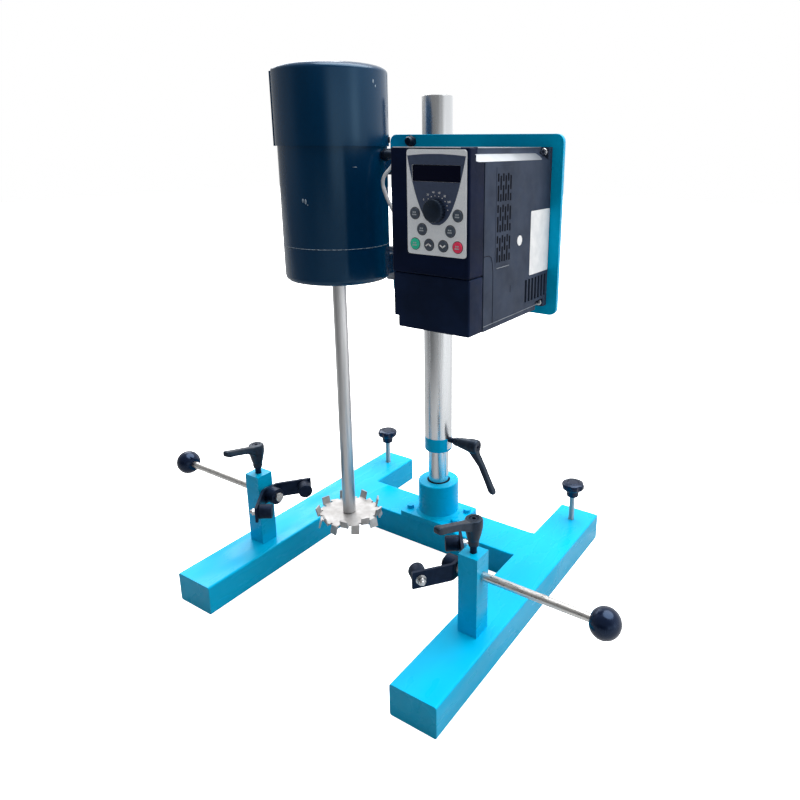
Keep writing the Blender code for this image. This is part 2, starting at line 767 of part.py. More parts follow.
def build_post_lever(side):
    place = (side * RAIL_OFFSET, POST_Y, POST_LEVER_BASE)
    stud_length = POST_LEVER_BASE - CLAMP_HEIGHT - CLAMP_ROD_RADIUS - GAP
    pieces = build_lever(
        side_name(side) + "_clamp_lever",
        place,
        (0, 0, math.radians(-90 - 10 * side)),
        POST_LEVER_HUB,
        POST_LEVER_REACH,
        POST_LEVER_RISE,
        POST_LEVER_STANDOFF,
        stud_length,
    )
    carry(pivot(side_name(side) + "_lever_axis", place), *pieces)


def build_clamp_rod(side):
    """Rod with a collar outside the bracket and a screw head inside it, and its ball knob."""
    label = side_name(side)
    ball = BALL_CENTRE
    rod_end = ball - 4 * MM
    head_start = BOSS_END - GAP
    head_end = head_start - BOSS_SCREW_HEAD
    collar_end = BRACKET_OUTER + GAP
    profile = [
        (0, rod_end),
        (CLAMP_ROD_RADIUS - 0.5 * MM, rod_end),
        (CLAMP_ROD_RADIUS, rod_end - 0.5 * MM),
        (CLAMP_ROD_RADIUS, COLLAR_START),
        (CLAMP_COLLAR_RADIUS, COLLAR_START),
        (CLAMP_COLLAR_RADIUS, collar_end),
        (SPIGOT_RADIUS, collar_end),
        (SPIGOT_RADIUS, head_start),
        (BOSS_SCREW_RADIUS, head_start),
        (BOSS_SCREW_RADIUS, head_end),
        (0, head_end),
    ]
    outward = (0, math.radians(90 * side), 0)
    place = (0, POST_Y, CLAMP_HEIGHT)
    rod = turned(label + "_clamp_rod", profile, BRIGHT_STEEL, origin=place, turn=outward, steps=16)
    flat = -math.sqrt(BALL_RADIUS ** 2 - BALL_FLAT_RADIUS ** 2)
    flat_angle = math.degrees(math.asin(flat / BALL_RADIUS))
    bore = CLAMP_ROD_RADIUS + GAP
    outline = arc(BALL_RADIUS, 0, ball, 90, flat_angle, 10)
    outline[0] = (0, ball + BALL_RADIUS)
    outline += [(bore, ball + flat), (bore, rod_end + GAP), (0, rod_end + GAP)]
    knob = turned(label + "_ball_knob", outline, BLACK_BALL, origin=place, turn=outward, steps=20)
    carry(pivot(label + "_clamp_axis", place), rod, knob)


def bracket_path(side):
    """Centre line of the bent strip in plan, from the front arm's end to the rear arm's end."""
    middle = BRACKET_OUTER - BRACKET_THICKNESS / 2
    near = [
        (middle - BRACKET_REACH, BRACKET_SPREAD),
        (middle - 3 * MM, BRACKET_FLAT + 4 * MM),
        (middle - 0.8 * MM, BRACKET_FLAT + MM),
        (middle, BRACKET_FLAT - 2 * MM),
    ]
    front = [(side * x, POST_Y - y) for x, y in near]
    rear = [(side * x, POST_Y + y) for x, y in reversed(near)]
    return front + rear


def arm_frame(side, rear):
    """Bumper bolt's place on an arm's centre line, and the direction towards the vessel."""
    path = bracket_path(side)
    end, corner = (Vector(path[-1]), Vector(path[-2])) if rear else (Vector(path[0]), Vector(path[1]))
    along = (corner - end).normalized()
    place = end + along * BUMPER_INSET
    inward = Vector((-along.y, along.x)) * (-side if rear else side)
    return Vector((*place, CLAMP_HEIGHT)), Vector((*inward, 0))


def build_bracket(side):
    """Bent strip with a welded boss on the rod, opening towards the vessel."""
    label = side_name(side)
    half = BRACKET_HEIGHT / 2
    bm = bmesh.new()
    columns = []
    for x, y in bracket_path(side):
        low = bm.verts.new((x, y, CLAMP_HEIGHT - half))
        high = bm.verts.new((x, y, CLAMP_HEIGHT + half))
        columns.append((low, high))
    for first, second in zip(columns, columns[1:]):
        bm.faces.new((first[0], second[0], second[1], first[1]))
    place = (0, POST_Y, CLAMP_HEIGHT)
    bracket = finish(bm, label + "_v_bracket", BLACK_STEEL, place)
    wall = bracket.modifiers.new("strip_thickness", "SOLIDIFY")
    wall.thickness = BRACKET_THICKNESS
    wall.offset = 0.0
    wall.use_even_offset = True
    boss = bmesh.new()
    add_round(
        boss,
        BRACKET_BOSS_RADIUS,
        (side * (BRACKET_INNER + MM), POST_Y, CLAMP_HEIGHT),
        (side * BOSS_END, POST_Y, CLAMP_HEIGHT),
        20,
    )
    join(bracket, finish_tool(boss, label + "_bracket_boss"))
    bores = bmesh.new()
    add_round(
        bores,
        SPIGOT_RADIUS + GAP,
        (side * (BOSS_END - 5 * MM), POST_Y, CLAMP_HEIGHT),
        (side * (BRACKET_OUTER + 5 * MM), POST_Y, CLAMP_HEIGHT),
        12,
    )
    for rear in (False, True):
        bolt, inward = arm_frame(side, rear)
        reach = inward * 3 * BRACKET_THICKNESS
        add_round(bores, BUMPER_STUD_RADIUS + THREAD_GAP, bolt - reach, bolt + reach, 8)
    cut(bracket, finish_tool(bores, label + "_bracket_bores"))
    return bracket


def build_bumper(side, rear):
    """Rubber buffer inside an arm, with its bonded stud and nut."""
    name = side_name(side) + ("_rear_bumper" if rear else "_front_bumper")
    bolt, inward = arm_frame(side, rear)
    face = BRACKET_THICKNESS / 2 + GAP
    rubber = bmesh.new()
    add_round(rubber, BUMPER_RADIUS, bolt + inward * face, bolt + inward * (face + BUMPER_LENGTH), 20)
    bumper = finish(rubber, name, RUBBER, (0, POST_Y, CLAMP_HEIGHT))
    round_edges(bumper, MM, 1)
    nut, stud = bmesh.new(), bmesh.new()
    add_round(nut, 5.8 * MM, bolt - inward * face, bolt - inward * (face + 5 * MM), 6)
    add_round(
        stud,
        BUMPER_STUD_RADIUS,
        bolt - inward * (face + 8 * MM),
        bolt + inward * (face + 2 * MM),
        8,
    )
    join(bumper, finish_tool(stud, name + "_stud"))
    join(bumper, finish_tool(nut, name + "_nut"))
    return bumper


def build_clamp(side):
    build_post(side)
    build_post_lever(side)
    build_clamp_rod(side)
    pieces = [build_bracket(side), build_bumper(side, False), build_bumper(side, True)]
    carry(pivot(side_name(side) + "_bracket_axis", (0, POST_Y, CLAMP_HEIGHT)), *pieces)


def build_jack(side):
    """Levelling screw: swivel pad, screw and star knob."""
    label = side_name(side)
    place = (side * RAIL_OFFSET, JACK_Y, 0)
    pad_top = PAD_CLEAR + PAD_HEIGHT
    pad_profile = [
        (0, pad_top),
        (PAD_RADIUS - 2 * MM, pad_top),
        (PAD_RADIUS, pad_top - 2 * MM),
        (PAD_RADIUS, PAD_CLEAR),
        (0, PAD_CLEAR),
    ]
    pad = turned(label + "_jack_pad", pad_profile, RUBBER, origin=place, steps=16)
    screw_profile = [
        (0, JACK_TOP),
        (JACK_RADIUS - 0.5 * MM, JACK_TOP),
        (JACK_RADIUS, JACK_TOP - 0.5 * MM),
        (JACK_RADIUS, pad_top + MM),
        (JACK_RADIUS - MM, pad_top + GAP),
        (0, pad_top + GAP),
    ]
    screw = turned(label + "_jack_screw", screw_profile, ZINC_STEEL, origin=place, steps=12)
    knob_profile = [
        (0, STAR_TOP - STAR_THICKNESS / 2),
        (STAR_HUB_RADIUS + MM, STAR_TOP - STAR_THICKNESS / 2),
        (STAR_HUB_RADIUS, STAR_HUB_BOTTOM),
        (0, STAR_HUB_BOTTOM),
    ]
    star = bmesh.new()
    count = STAR_LOBES * 6
    add_round(
        star,
        STAR_RADIUS,
        (0, 0, STAR_TOP - STAR_THICKNESS),
        (0, 0, STAR_TOP),
        count,
    )
    for vert in star.verts:
        angle = math.atan2(vert.co.y, vert.co.x)
        wave = STAR_LOBE_DEPTH * (math.cos(STAR_LOBES * angle) - 1) / 2
        scale = (STAR_RADIUS + wave) / STAR_RADIUS
        vert.co.x *= scale
        vert.co.y *= scale
    knob = finish(star, label + "_star_knob", BLACK_PLASTIC)
    knob.location = place
    round_edges(knob, 1.2 * MM, 1)
    hub = turned(label + "_star_hub", knob_profile, steps=16)
    hub.location = place
    bore = bmesh.new()
    add_round(bore, JACK_RADIUS + THREAD_GAP, (0, 0, 0), (0, 0, JACK_TOP + GAP), 12)
    bore_tool = finish_tool(bore, label + "_star_bore")
    bore_tool.location = place
    join(knob, hub)
    cut(knob, bore_tool)
    carry(pivot(label + "_pad_axis", place), pad)
    carry(pivot(label + "_jack_axis", place), screw, knob)


def build_mounting_plate():
    """Plate with the welded saddle that sits on the column tube."""
    bm = bmesh.new()
    add_box(bm, (PLATE_LEFT, PLATE_FRONT, PLATE_BOTTOM), (PLATE_RIGHT, PLATE_BACK, PLATE_TOP))
    bevel_along(bm, 1, PLATE_CORNER, 4)
    plate = finish(bm, "mounting_plate", BLUE_PAINT)
    wide = SADDLE_HALF_WIDTH
    bm = bmesh.new()
    add_box(bm, (-wide, PLATE_BACK - MM, SADDLE_BOTTOM), (wide, -GAP, SADDLE_TOP))
    join(plate, finish_tool(bm, "tube_saddle"))
    bm = bmesh.new()
    add_round(bm, TUBE_RADIUS + GAP, (0, 0, SADDLE_BOTTOM - MM), (0, 0, SADDLE_TOP + MM), 28)
    cut(plate, finish_tool(bm, "tube_saddle_bore"))
    holes = bmesh.new()
    hole = STUD_RADIUS + THREAD_GAP
    for x, z in saddle_bolt_places():
        add_round(holes, hole, (x, 2 * PLATE_FRONT, z), (x, SADDLE_BACK, z), 8)
    for z in foot_bolt_heights(UPPER_FOOT) + foot_bolt_heights(LOWER_FOOT):
        blind = PLATE_FRONT + FOOT_BOLT_DEPTH + MM
        add_round(holes, hole, (FOOT_BOLT_X, 2 * PLATE_FRONT, z), (FOOT_BOLT_X, blind, z), 8)
    for x, z in drive_screw_places():
        add_round(holes, 2 * MM + THREAD_GAP, (x, 2 * PLATE_FRONT, z), (x, 0, z), 8)
    cut(plate, finish_tool(holes, "plate_holes"))
    return plate


def saddle_bolt_places():
    heights = (SADDLE_BOTTOM + SADDLE_BOLT_INSET, SADDLE_TOP - SADDLE_BOLT_INSET)
    return [(sx * SADDLE_BOLT_X, z) for sx in (-1, 1) for z in heights]


def foot_bolt_heights(foot):
    low, high = foot
    return [low + 9 * MM, high - 9 * MM]


def drive_screw_places():
    inset = EAR_NOTCH / 2
    return [(x, z) for x in (DRIVE_LEFT + inset, DRIVE_RIGHT - inset)
            for z in (DRIVE_BOTTOM + inset, DRIVE_TOP - inset)]


def build_tube_clamp():
    """Rear half of the grip on the tube, with its four bolts and their nuts before the plate."""
    wide = SADDLE_HALF_WIDTH
    bm = bmesh.new()
    add_box(bm, (-wide, GAP, SADDLE_BOTTOM), (wide, SADDLE_BACK, SADDLE_TOP))
    clamp = finish(bm, "tube_clamp", BLUE_PAINT)
    bm = bmesh.new()
    add_round(bm, TUBE_RADIUS + GAP, (0, 0, SADDLE_BOTTOM - MM), (0, 0, SADDLE_TOP + MM), 28)
    cut(clamp, finish_tool(bm, "tube_clamp_bore"))
    heads, shanks = bmesh.new(), bmesh.new()
    nut_back = PLATE_FRONT - GAP
    nut_front = nut_back - 6 * MM
    for x, z in saddle_bolt_places():
        add_round(heads, 7 * MM, (x, SADDLE_BACK - MM, z), (x, SADDLE_BACK + 5 * MM, z), 6)
        add_round(heads, 7 * MM, (x, nut_back, z), (x, nut_front, z), 6)
        add_round(shanks, STUD_RADIUS, (x, nut_front - 3 * MM, z), (x, SADDLE_BACK - MM / 2, z), 8)
    join(clamp, finish_tool(shanks, "clamp_bolt_shanks"))
    join(clamp, finish_tool(heads, "clamp_bolt_heads"))
    return clamp


def add_foot(part, foot, web):
    """Join a foot to the motor's wall: a web, a pad on the plate, and the pad's two bolts."""
    pad_back = PLATE_FRONT - GAP
    pad_front = pad_back - FOOT_THICKNESS
    pad = bmesh.new()
    add_box(pad, (FOOT_LEFT, pad_front, foot[0]), (FOOT_RIGHT, pad_back, foot[1]))
    pad_tool = finish_tool(pad, part.name + "_foot")
    round_edges(pad_tool, 1.5 * MM, 1)
    rib = bmesh.new()
    root = MOTOR_Y + FOOT_WEB_ROOT
    add_box(rib, (FOOT_LEFT + MM, root, web[0]), (FOOT_WEB_RIGHT, pad_back - MM, web[1]))
    rib_tool = finish_tool(rib, part.name + "_foot_web")
    heads, shanks = bmesh.new(), bmesh.new()
    x = FOOT_BOLT_X
    for z in foot_bolt_heights(foot):
        add_round(heads, 6.5 * MM, (x, pad_front + MM, z), (x, pad_front - 5 * MM, z), 6)
        add_round(shanks, STUD_RADIUS, (x, pad_back - MM, z), (x, PLATE_FRONT + FOOT_BOLT_DEPTH, z), 8)
    for tool in (rib_tool, pad_tool):
        join(part, tool)
    return finish_tool(heads, part.name + "_bolt_heads"), finish_tool(shanks, part.name + "_bolt_shanks")


def build_motor_body():
    """Motor shell with its upper bearing shield and upper foot."""
    shield_bottom = MOTOR_SHIELD_TOP - MOTOR_SHIELD_THICKNESS
    profile = [
        (0, MOTOR_SHIELD_TOP),
        (MOTOR_RADIUS - 2 * MM, MOTOR_SHIELD_TOP),
        (MOTOR_RADIUS, MOTOR_SHIELD_TOP - 2 * MM),
        (MOTOR_RADIUS, MOTOR_SEAM),
        (0, MOTOR_SEAM),
    ]
    body = turned("motor_body", profile, NAVY_PAINT, origin=MOTOR_AXIS, steps=40)
    heads, shanks = add_foot(body, UPPER_FOOT, UPPER_WEB)
    seat = BEARING_RADIUS + GAP
    seat_top = shield_bottom + BEARING_HEIGHT + 2 * GAP
    hollow_profile = [
        (0, MOTOR_SHIELD_TOP + MM),
        (SHAFT_TOP_RADIUS + MM, MOTOR_SHIELD_TOP + MM),
        (SHAFT_TOP_RADIUS + MM, seat_top),
        (seat, seat_top),
        (seat, shield_bottom),
        (MOTOR_BORE, shield_bottom),
        (MOTOR_BORE, MOTOR_SEAM - MM),
        (0, MOTOR_SEAM - MM),
    ]
    hollow = turned("motor_body_hollow", hollow_profile, origin=MOTOR_AXIS, steps=40)
    cut(body, hollow)
    join(body, heads)
    join(body, shanks)
    bm = bmesh.new()
    gland = Vector((MOTOR_X, MOTOR_GLAND_Y, MOTOR_GLAND_Z))
    add_round(bm, LEAD_RADIUS + MM, gland, gland + Vector((2 * MOTOR_RADIUS, 0, 0)), 16)
    cut(body, finish_tool(bm, "motor_lead_hole"))
    return body


def build_end_bell():
    """Lower end bell with the lower bearing seat and the lower foot."""
    top = MOTOR_SEAM - GAP
    floor_top = MOTOR_BOTTOM + BELL_FLOOR
    outline = [(0, top), (MOTOR_RADIUS, top)]
    outline += arc(7 * MM, MOTOR_RADIUS - 7 * MM, MOTOR_BOTTOM + 7 * MM, 0, -90, 3)
    outline += [(0, MOTOR_BOTTOM)]
    bell = turned("end_bell", outline, NAVY_PAINT, origin=MOTOR_AXIS, steps=40)
    heads, shanks = add_foot(bell, LOWER_FOOT, LOWER_WEB)
    seat = BEARING_RADIUS + GAP
    seat_bottom = floor_top - BEARING_HEIGHT - 2 * GAP
    hollow_profile = [
        (0, top + MM),
        (MOTOR_BORE, top + MM),
        (MOTOR_BORE, floor_top),
        (seat, floor_top),
        (seat, seat_bottom),
        (SHAFT_RADIUS + MM, seat_bottom),
        (SHAFT_RADIUS + MM, MOTOR_BOTTOM - MM),
        (0, MOTOR_BOTTOM - MM),
    ]
    cut(bell, turned("end_bell_hollow", hollow_profile, origin=MOTOR_AXIS, steps=40))
    join(bell, heads)
    join(bell, shanks)
    return bell


def build_bearing(name, bottom, shaft_radius):
    profile_top = bottom + BEARING_HEIGHT
    bore = shaft_radius + GAP
    profile = [(BEARING_RADIUS, profile_top), (BEARING_RADIUS, bottom), (bore, bottom), (bore, profile_top)]
    return turned(name, profile, BRIGHT_STEEL, origin=MOTOR_AXIS, steps=20, closed=True)


def build_stator_core():
    outer = MOTOR_BORE - GAP
    profile = [(outer, CORE_TOP), (outer, CORE_BOTTOM), (STATOR_BORE, CORE_BOTTOM), (STATOR_BORE, CORE_TOP)]
    return turned("stator_core", profile, LAMINATION, origin=MOTOR_AXIS, steps=24, closed=True)


def build_fan_cowl():
    """Thin cover over the cooling fan, slotted on top, slipped over the motor body."""
    inner = MOTOR_RADIUS + GAP
    shoulder = COWL_TOP - COWL_CROWN
    rise = COWL_CROWN - COWL_DOME
    outline = [(0, COWL_TOP)]
    for degrees in (90, 62, 40, 20, 0):
        angle = math.radians(degrees)
        reach = COWL_CROWN_REACH * (1 - math.cos(angle))
        outline.append((COWL_RADIUS - reach, shoulder + rise * math.sin(angle)))
    outline += [(COWL_RADIUS, COWL_BOTTOM), (inner, COWL_BOTTOM), (inner, shoulder)]
    outline += [
        (inner - COWL_CROWN_REACH / 4, shoulder + rise / 2),
        (inner - COWL_CROWN_REACH, COWL_TOP - COWL_DOME - COWL_WALL),
        (0, COWL_TOP - COWL_WALL),
    ]
    cowl = turned("fan_cowl", outline, NAVY_PAINT, origin=MOTOR_AXIS, steps=40)
    slots = bmesh.new()
    for index in range(COWL_SLOTS):
        angle = 2 * math.pi * index / COWL_SLOTS
        spin = Matrix.Translation((MOTOR_X, MOTOR_Y, COWL_TOP)) @ Matrix.Rotation(angle, 4, "Z")
        low = (COWL_SLOT_START, -COWL_SLOT_WIDTH / 2, -2 * COWL_WALL)
        high = (COWL_SLOT_END, COWL_SLOT_WIDTH / 2, 2 * COWL_WALL)
        verts = add_box(slots, low, high)
        bmesh.ops.transform(slots, matrix=spin, verts=verts)
    cut(cowl, finish_tool(slots, "cowl_slots"))
    return cowl


def build_motor_shaft():
    """Long shaft with its rotor core, down to the spigot that carries the disc."""
    shoulder = DISC_HEIGHT + DISC_THICKNESS / 2 + GAP
    spigot_end = shoulder - DISC_SPIGOT_LENGTH
    lower_step = MOTOR_BOTTOM + BELL_FLOOR + MM
    profile = [
        (0, SHAFT_TOP),
        (SHAFT_TOP_RADIUS, SHAFT_TOP),
        (SHAFT_TOP_RADIUS, MOTOR_SHIELD_TOP - MOTOR_SHIELD_THICKNESS - 2 * MM),
        (SHAFT_RADIUS + 2 * MM, CORE_TOP + 6 * MM),
        (SHAFT_RADIUS + 2 * MM, CORE_TOP),
        (ROTOR_CORE_RADIUS, CORE_TOP),
        (ROTOR_CORE_RADIUS, CORE_BOTTOM),
        (SHAFT_RADIUS + 2 * MM, CORE_BOTTOM),
        (SHAFT_RADIUS + 2 * MM, lower_step),
        (SHAFT_RADIUS, lower_step),
        (SHAFT_RADIUS, shoulder + MM),
        (SHAFT_RADIUS - MM, shoulder),
        (DISC_SPIGOT_RADIUS, shoulder),
        (DISC_SPIGOT_RADIUS, spigot_end),
        (0, spigot_end),
    ]
    return turned("motor_shaft", profile, BRIGHT_STEEL, origin=MOTOR_AXIS, steps=24)


def build_cooling_fan():
    """Hub with straight blades on the shaft's upper end."""
    bm = bmesh.new()
    low = Vector((MOTOR_X, MOTOR_Y, FAN_BOTTOM))
    high = low + Vector((0, 0, FAN_HEIGHT))
    add_round(bm, 14 * MM, low, high, 16)
    fan = finish(bm, "cooling_fan", BLACK_PLASTIC, (MOTOR_X, MOTOR_Y, 0))
    blades = bmesh.new()
    for index in range(FAN_BLADES):
        spin = Matrix.Translation(low) @ Matrix.Rotation(2 * math.pi * index / FAN_BLADES, 4, "Z")
        verts = add_box(blades, (12 * MM, -MM, MM), (FAN_RADIUS, MM, FAN_HEIGHT - MM))
        bmesh.ops.transform(blades, matrix=spin, verts=verts)
    join(fan, finish_tool(blades, "fan_blades"))
    bore = bmesh.new()
    margin = Vector((0, 0, 5 * MM))
    add_round(bore, SHAFT_TOP_RADIUS + GAP, low - margin, high + margin, 16)
    cut(fan, finish_tool(bore, "fan_bore"))
    return fan


def build_disc():
    """Thin disc whose rim teeth are bent up and down in turn."""
    bm = bmesh.new()
    centre = Vector((MOTOR_X, MOTOR_Y, DISC_HEIGHT))
    half = Vector((0, 0, DISC_THICKNESS / 2))
    add_round(bm, DISC_RADIUS, centre - half, centre + half, 40)
    disc = finish(bm, "dispersing_disc", BRIGHT_STEEL, (MOTOR_X, MOTOR_Y, 0))
    phase = math.radians(DISC_PHASE)
    teeth = bmesh.new()
    for index in range(DISC_TEETH):
        up = 1 if index % 2 == 0 else -1
        low, high = sorted((-up * DISC_THICKNESS / 2 * 0.9, up * TOOTH_HEIGHT))
        verts = add_box(
            teeth,
            (-DISC_THICKNESS / 2, -TOOTH_WIDTH / 2, low),
            (DISC_THICKNESS / 2, TOOTH_WIDTH / 2, high),
        )
        turn = phase + 2 * math.pi * index / DISC_TEETH
        spin = Matrix.Translation(centre) @ Matrix.Rotation(turn, 4, "Z")
        lean = Matrix.Translation((DISC_RADIUS, 0, 0)) @ Matrix.Rotation(math.radians(TOOTH_ANGLE), 4, "Z")
        flare = Matrix.Rotation(math.radians(up * TOOTH_FLARE), 4, "Y")
        bmesh.ops.transform(teeth, matrix=spin @ lean @ flare, verts=verts)
    relief = bmesh.new()
    for index in range(DISC_TEETH):
        turn = phase + 2 * math.pi * (index + 0.5) / DISC_TEETH
        verts = add_box(
            relief,
            (DISC_RADIUS - TOOTH_RELIEF_DEPTH, -TOOTH_RELIEF / 2, -DISC_THICKNESS),
            (DISC_RADIUS + TOOTH_RELIEF, TOOTH_RELIEF / 2, DISC_THICKNESS),
        )
        spin = Matrix.Translation(centre) @ Matrix.Rotation(turn, 4, "Z")
        bmesh.ops.transform(relief, matrix=spin, verts=verts)
    cut(disc, finish_tool(relief, "disc_relief_cuts"))
    join(disc, finish_tool(teeth, "disc_teeth"))
    bore = bmesh.new()
    add_round(bore, DISC_SPIGOT_RADIUS + GAP, centre - 5 * half, centre + 5 * half, 16)
    cut(disc, finish_tool(bore, "disc_bore"))
    return disc


def build_disc_nut():
    top = DISC_HEIGHT - DISC_THICKNESS / 2 - GAP
    bm = bmesh.new()
    add_round(bm, 10.4 * MM, (MOTOR_X, MOTOR_Y, top), (MOTOR_X, MOTOR_Y, top - DISC_NUT_HEIGHT), 6)
    nut = finish(bm, "disc_nut", BRIGHT_STEEL, (MOTOR_X, MOTOR_Y, 0))
    bore = bmesh.new()
    add_round(
        bore,
        DISC_SPIGOT_RADIUS + THREAD_GAP,
        (MOTOR_X, MOTOR_Y, top + MM),
        (MOTOR_X, MOTOR_Y, top - 2 * DISC_NUT_HEIGHT),
        24,
    )
    cut(nut, finish_tool(bore, "disc_nut_bore"))
    return nut


def add_section(bm, section, start, end):
    """Prism of an outline in X and Z, drawn out along Y."""
    near = [bm.verts.new((x, start, z)) for x, z in section]
    far = [bm.verts.new((x, end, z)) for x, z in section]
    bm.faces.new(near)
    bm.faces.new(far[::-1])
    for index, vert in enumerate(near):
        after = (index + 1) % len(near)
        bm.faces.new((vert, far[index], far[after], near[after]))
    bmesh.ops.recalc_face_normals(bm, faces=bm.faces)


def side_vents(bm, outer, inner, slot_count):
    """Vent slots through one side wall of the drive."""
    for row in range(VENT_ROWS):
        low = VENT_BOTTOM + row * VENT_ROW_PITCH
        for column in range(VENT_COLUMNS):
            y = VENT_FRONT + column * VENT_PITCH
            start = low + VENT_STAGGER * (column % 2)
            for dash in range(VENT_DASHES):
                z = start + dash * (VENT_DASH + VENT_BRIDGE)
                add_box(bm, (outer, y - VENT_WIDTH / 2, z), (inner, y + VENT_WIDTH / 2, z + VENT_DASH))
    for index in range(slot_count):
        y = SLOT_FRONT + index * SLOT_PITCH
        low, high = SLOT_BOTTOM, SLOT_BOTTOM + SLOT_HEIGHT
        add_box(bm, (outer, y - SLOT_WIDTH / 2, low), (inner, y + SLOT_WIDTH / 2, high))


def build_drive_housing():
    """Hollow body of the drive, open to the covers, with a shelf along each upper edge."""
    bm = bmesh.new()
    add_box(bm, (DRIVE_LEFT, COVER_BACK + GAP, DRIVE_BOTTOM), (DRIVE_RIGHT, DRIVE_BACK, DRIVE_TOP))
    housing = finish(bm, "drive_housing", DRIVE_GREY)
    ear_face = DRIVE_BACK - EAR_THICKNESS
    front = DRIVE_FRONT
    shelf = bmesh.new()
    for x, out in ((DRIVE_LEFT, -1), (DRIVE_RIGHT, 1)):
        wall_x, beyond = x - out * SHELF_WIDTH, x + out * SHELF_WIDTH
        top = DRIVE_TOP - SHELF_HEIGHT
        section = [
            (wall_x, DRIVE_TOP + SHELF_HEIGHT),
            (wall_x, top),
            (x, top - SHELF_SLOPE),
            (beyond, top - 2 * SHELF_SLOPE),
            (beyond, DRIVE_TOP + SHELF_HEIGHT),
        ]
        add_section(shelf, section, front, ear_face)
        low, high = x - EAR_NOTCH, x + EAR_NOTCH
        add_box(
            shelf,
            (low, ear_face - 2 * EAR_NOTCH, DRIVE_BOTTOM - EAR_NOTCH),
            (high, ear_face, DRIVE_BOTTOM + EAR_NOTCH),
        )
    cut(housing, finish_tool(shelf, "drive_shelves"))
    inside = bmesh.new()
    wall = DRIVE_WALL
    left, right = DRIVE_LEFT + wall, DRIVE_RIGHT - wall
    back = ear_face - wall
    low = DRIVE_BOTTOM + wall
    notch = EAR_NOTCH + wall
    shelf_low = DRIVE_TOP - SHELF_HEIGHT - SHELF_SLOPE - wall
    add_box(inside, (left, front, low), (right, ear_face - 2 * EAR_NOTCH - wall, shelf_low))
    housing_inside = finish_tool(inside, "drive_hollow")
    cut(housing, housing_inside)
    deep = bmesh.new()
    add_box(
        deep,
        (DRIVE_LEFT + notch, front, DRIVE_BOTTOM + notch),
        (DRIVE_RIGHT - notch, back, DRIVE_TOP - wall),
    )
    cut(housing, finish_tool(deep, "drive_hollow_rear"))
    vents = bmesh.new()
    side_vents(vents, DRIVE_LEFT - wall, DRIVE_LEFT + notch + wall, 0)
    side_vents(vents, DRIVE_RIGHT - notch - wall, DRIVE_RIGHT + wall, SLOT_COUNT)
    cut(housing, finish_tool(vents, "drive_vents"))
    screws, shanks = bmesh.new(), bmesh.new()
    for x, z in drive_screw_places():
        add_round(screws, 3.6 * MM, (x, ear_face + MM, z), (x, ear_face - 3 * MM, z), 12)
        add_round(shanks, 2 * MM, (x, DRIVE_BACK - MM, z), (x, PLATE_BACK + 3 * MM, z), 8)
    join(housing, finish_tool(screws, "drive_screw_heads"))
    join(housing, finish_tool(shanks, "drive_screw_shanks"))
    return housing


def build_front_cover():
    bm = bmesh.new()
    low = COVER_SPLIT + GAP / 2
    add_box(bm, (DRIVE_LEFT, DRIVE_FRONT, low), (DRIVE_RIGHT, COVER_BACK, DRIVE_TOP))
    cover = finish(bm, "front_cover", DRIVE_BLACK)
    bevel = round_edges(cover, DRIVE_EDGE)
    bevel.angle_limit = math.radians(60)
    wall = DRIVE_WALL
    inside = bmesh.new()
    floor = POCKET_FLOOR + wall
    add_box(
        inside,
        (DRIVE_LEFT + wall, floor, low + wall),
        (DRIVE_RIGHT - wall, COVER_BACK + wall, DRIVE_TOP - wall),
    )
    cut(cover, finish_tool(inside, "front_cover_hollow"))
    pocket = bmesh.new()
    add_box(
        pocket,
        (KEYPAD_LEFT - GAP, DRIVE_FRONT - wall, KEYPAD_BOTTOM - GAP),
        (KEYPAD_RIGHT + GAP, POCKET_FLOOR, KEYPAD_TOP + GAP),
    )
    bevel_along(pocket, 1, KEYPAD_CORNER + GAP, 3)
    cut(cover, finish_tool(pocket, "keypad_pocket"))
    return cover


def build_lower_cover():
    """Terminal cover with a cable notch in its lower left corner."""
    bm = bmesh.new()
    high = COVER_SPLIT - GAP / 2
    front = DRIVE_FRONT + MM
    add_box(bm, (DRIVE_LEFT, front, DRIVE_BOTTOM), (DRIVE_RIGHT, COVER_BACK, high))
    cover = finish(bm, "lower_cover", DRIVE_BLACK)
    bevel = round_edges(cover, DRIVE_EDGE)
    bevel.angle_limit = math.radians(60)
    wall = DRIVE_WALL
    notch = bmesh.new()
    add_box(
        notch,
        (DRIVE_LEFT - CABLE_NOTCH, front - wall, DRIVE_BOTTOM - CABLE_NOTCH),
        (DRIVE_LEFT + CABLE_NOTCH, COVER_BACK + wall, DRIVE_BOTTOM + 2 * CABLE_NOTCH),
    )
    cut(cover, finish_tool(notch, "cable_notch"))
    inside = bmesh.new()
    add_box(
        inside,
        (DRIVE_LEFT + CABLE_NOTCH + wall, front + wall, DRIVE_BOTTOM + wall),
        (DRIVE_RIGHT - wall, COVER_BACK + wall, high - wall),
    )
    cut(cover, finish_tool(inside, "lower_cover_hollow"))
    return cover


def key_place(name):
    column, height = KEYS[name]
    return KEYPAD_CENTRE + column * KEY_PITCH, height


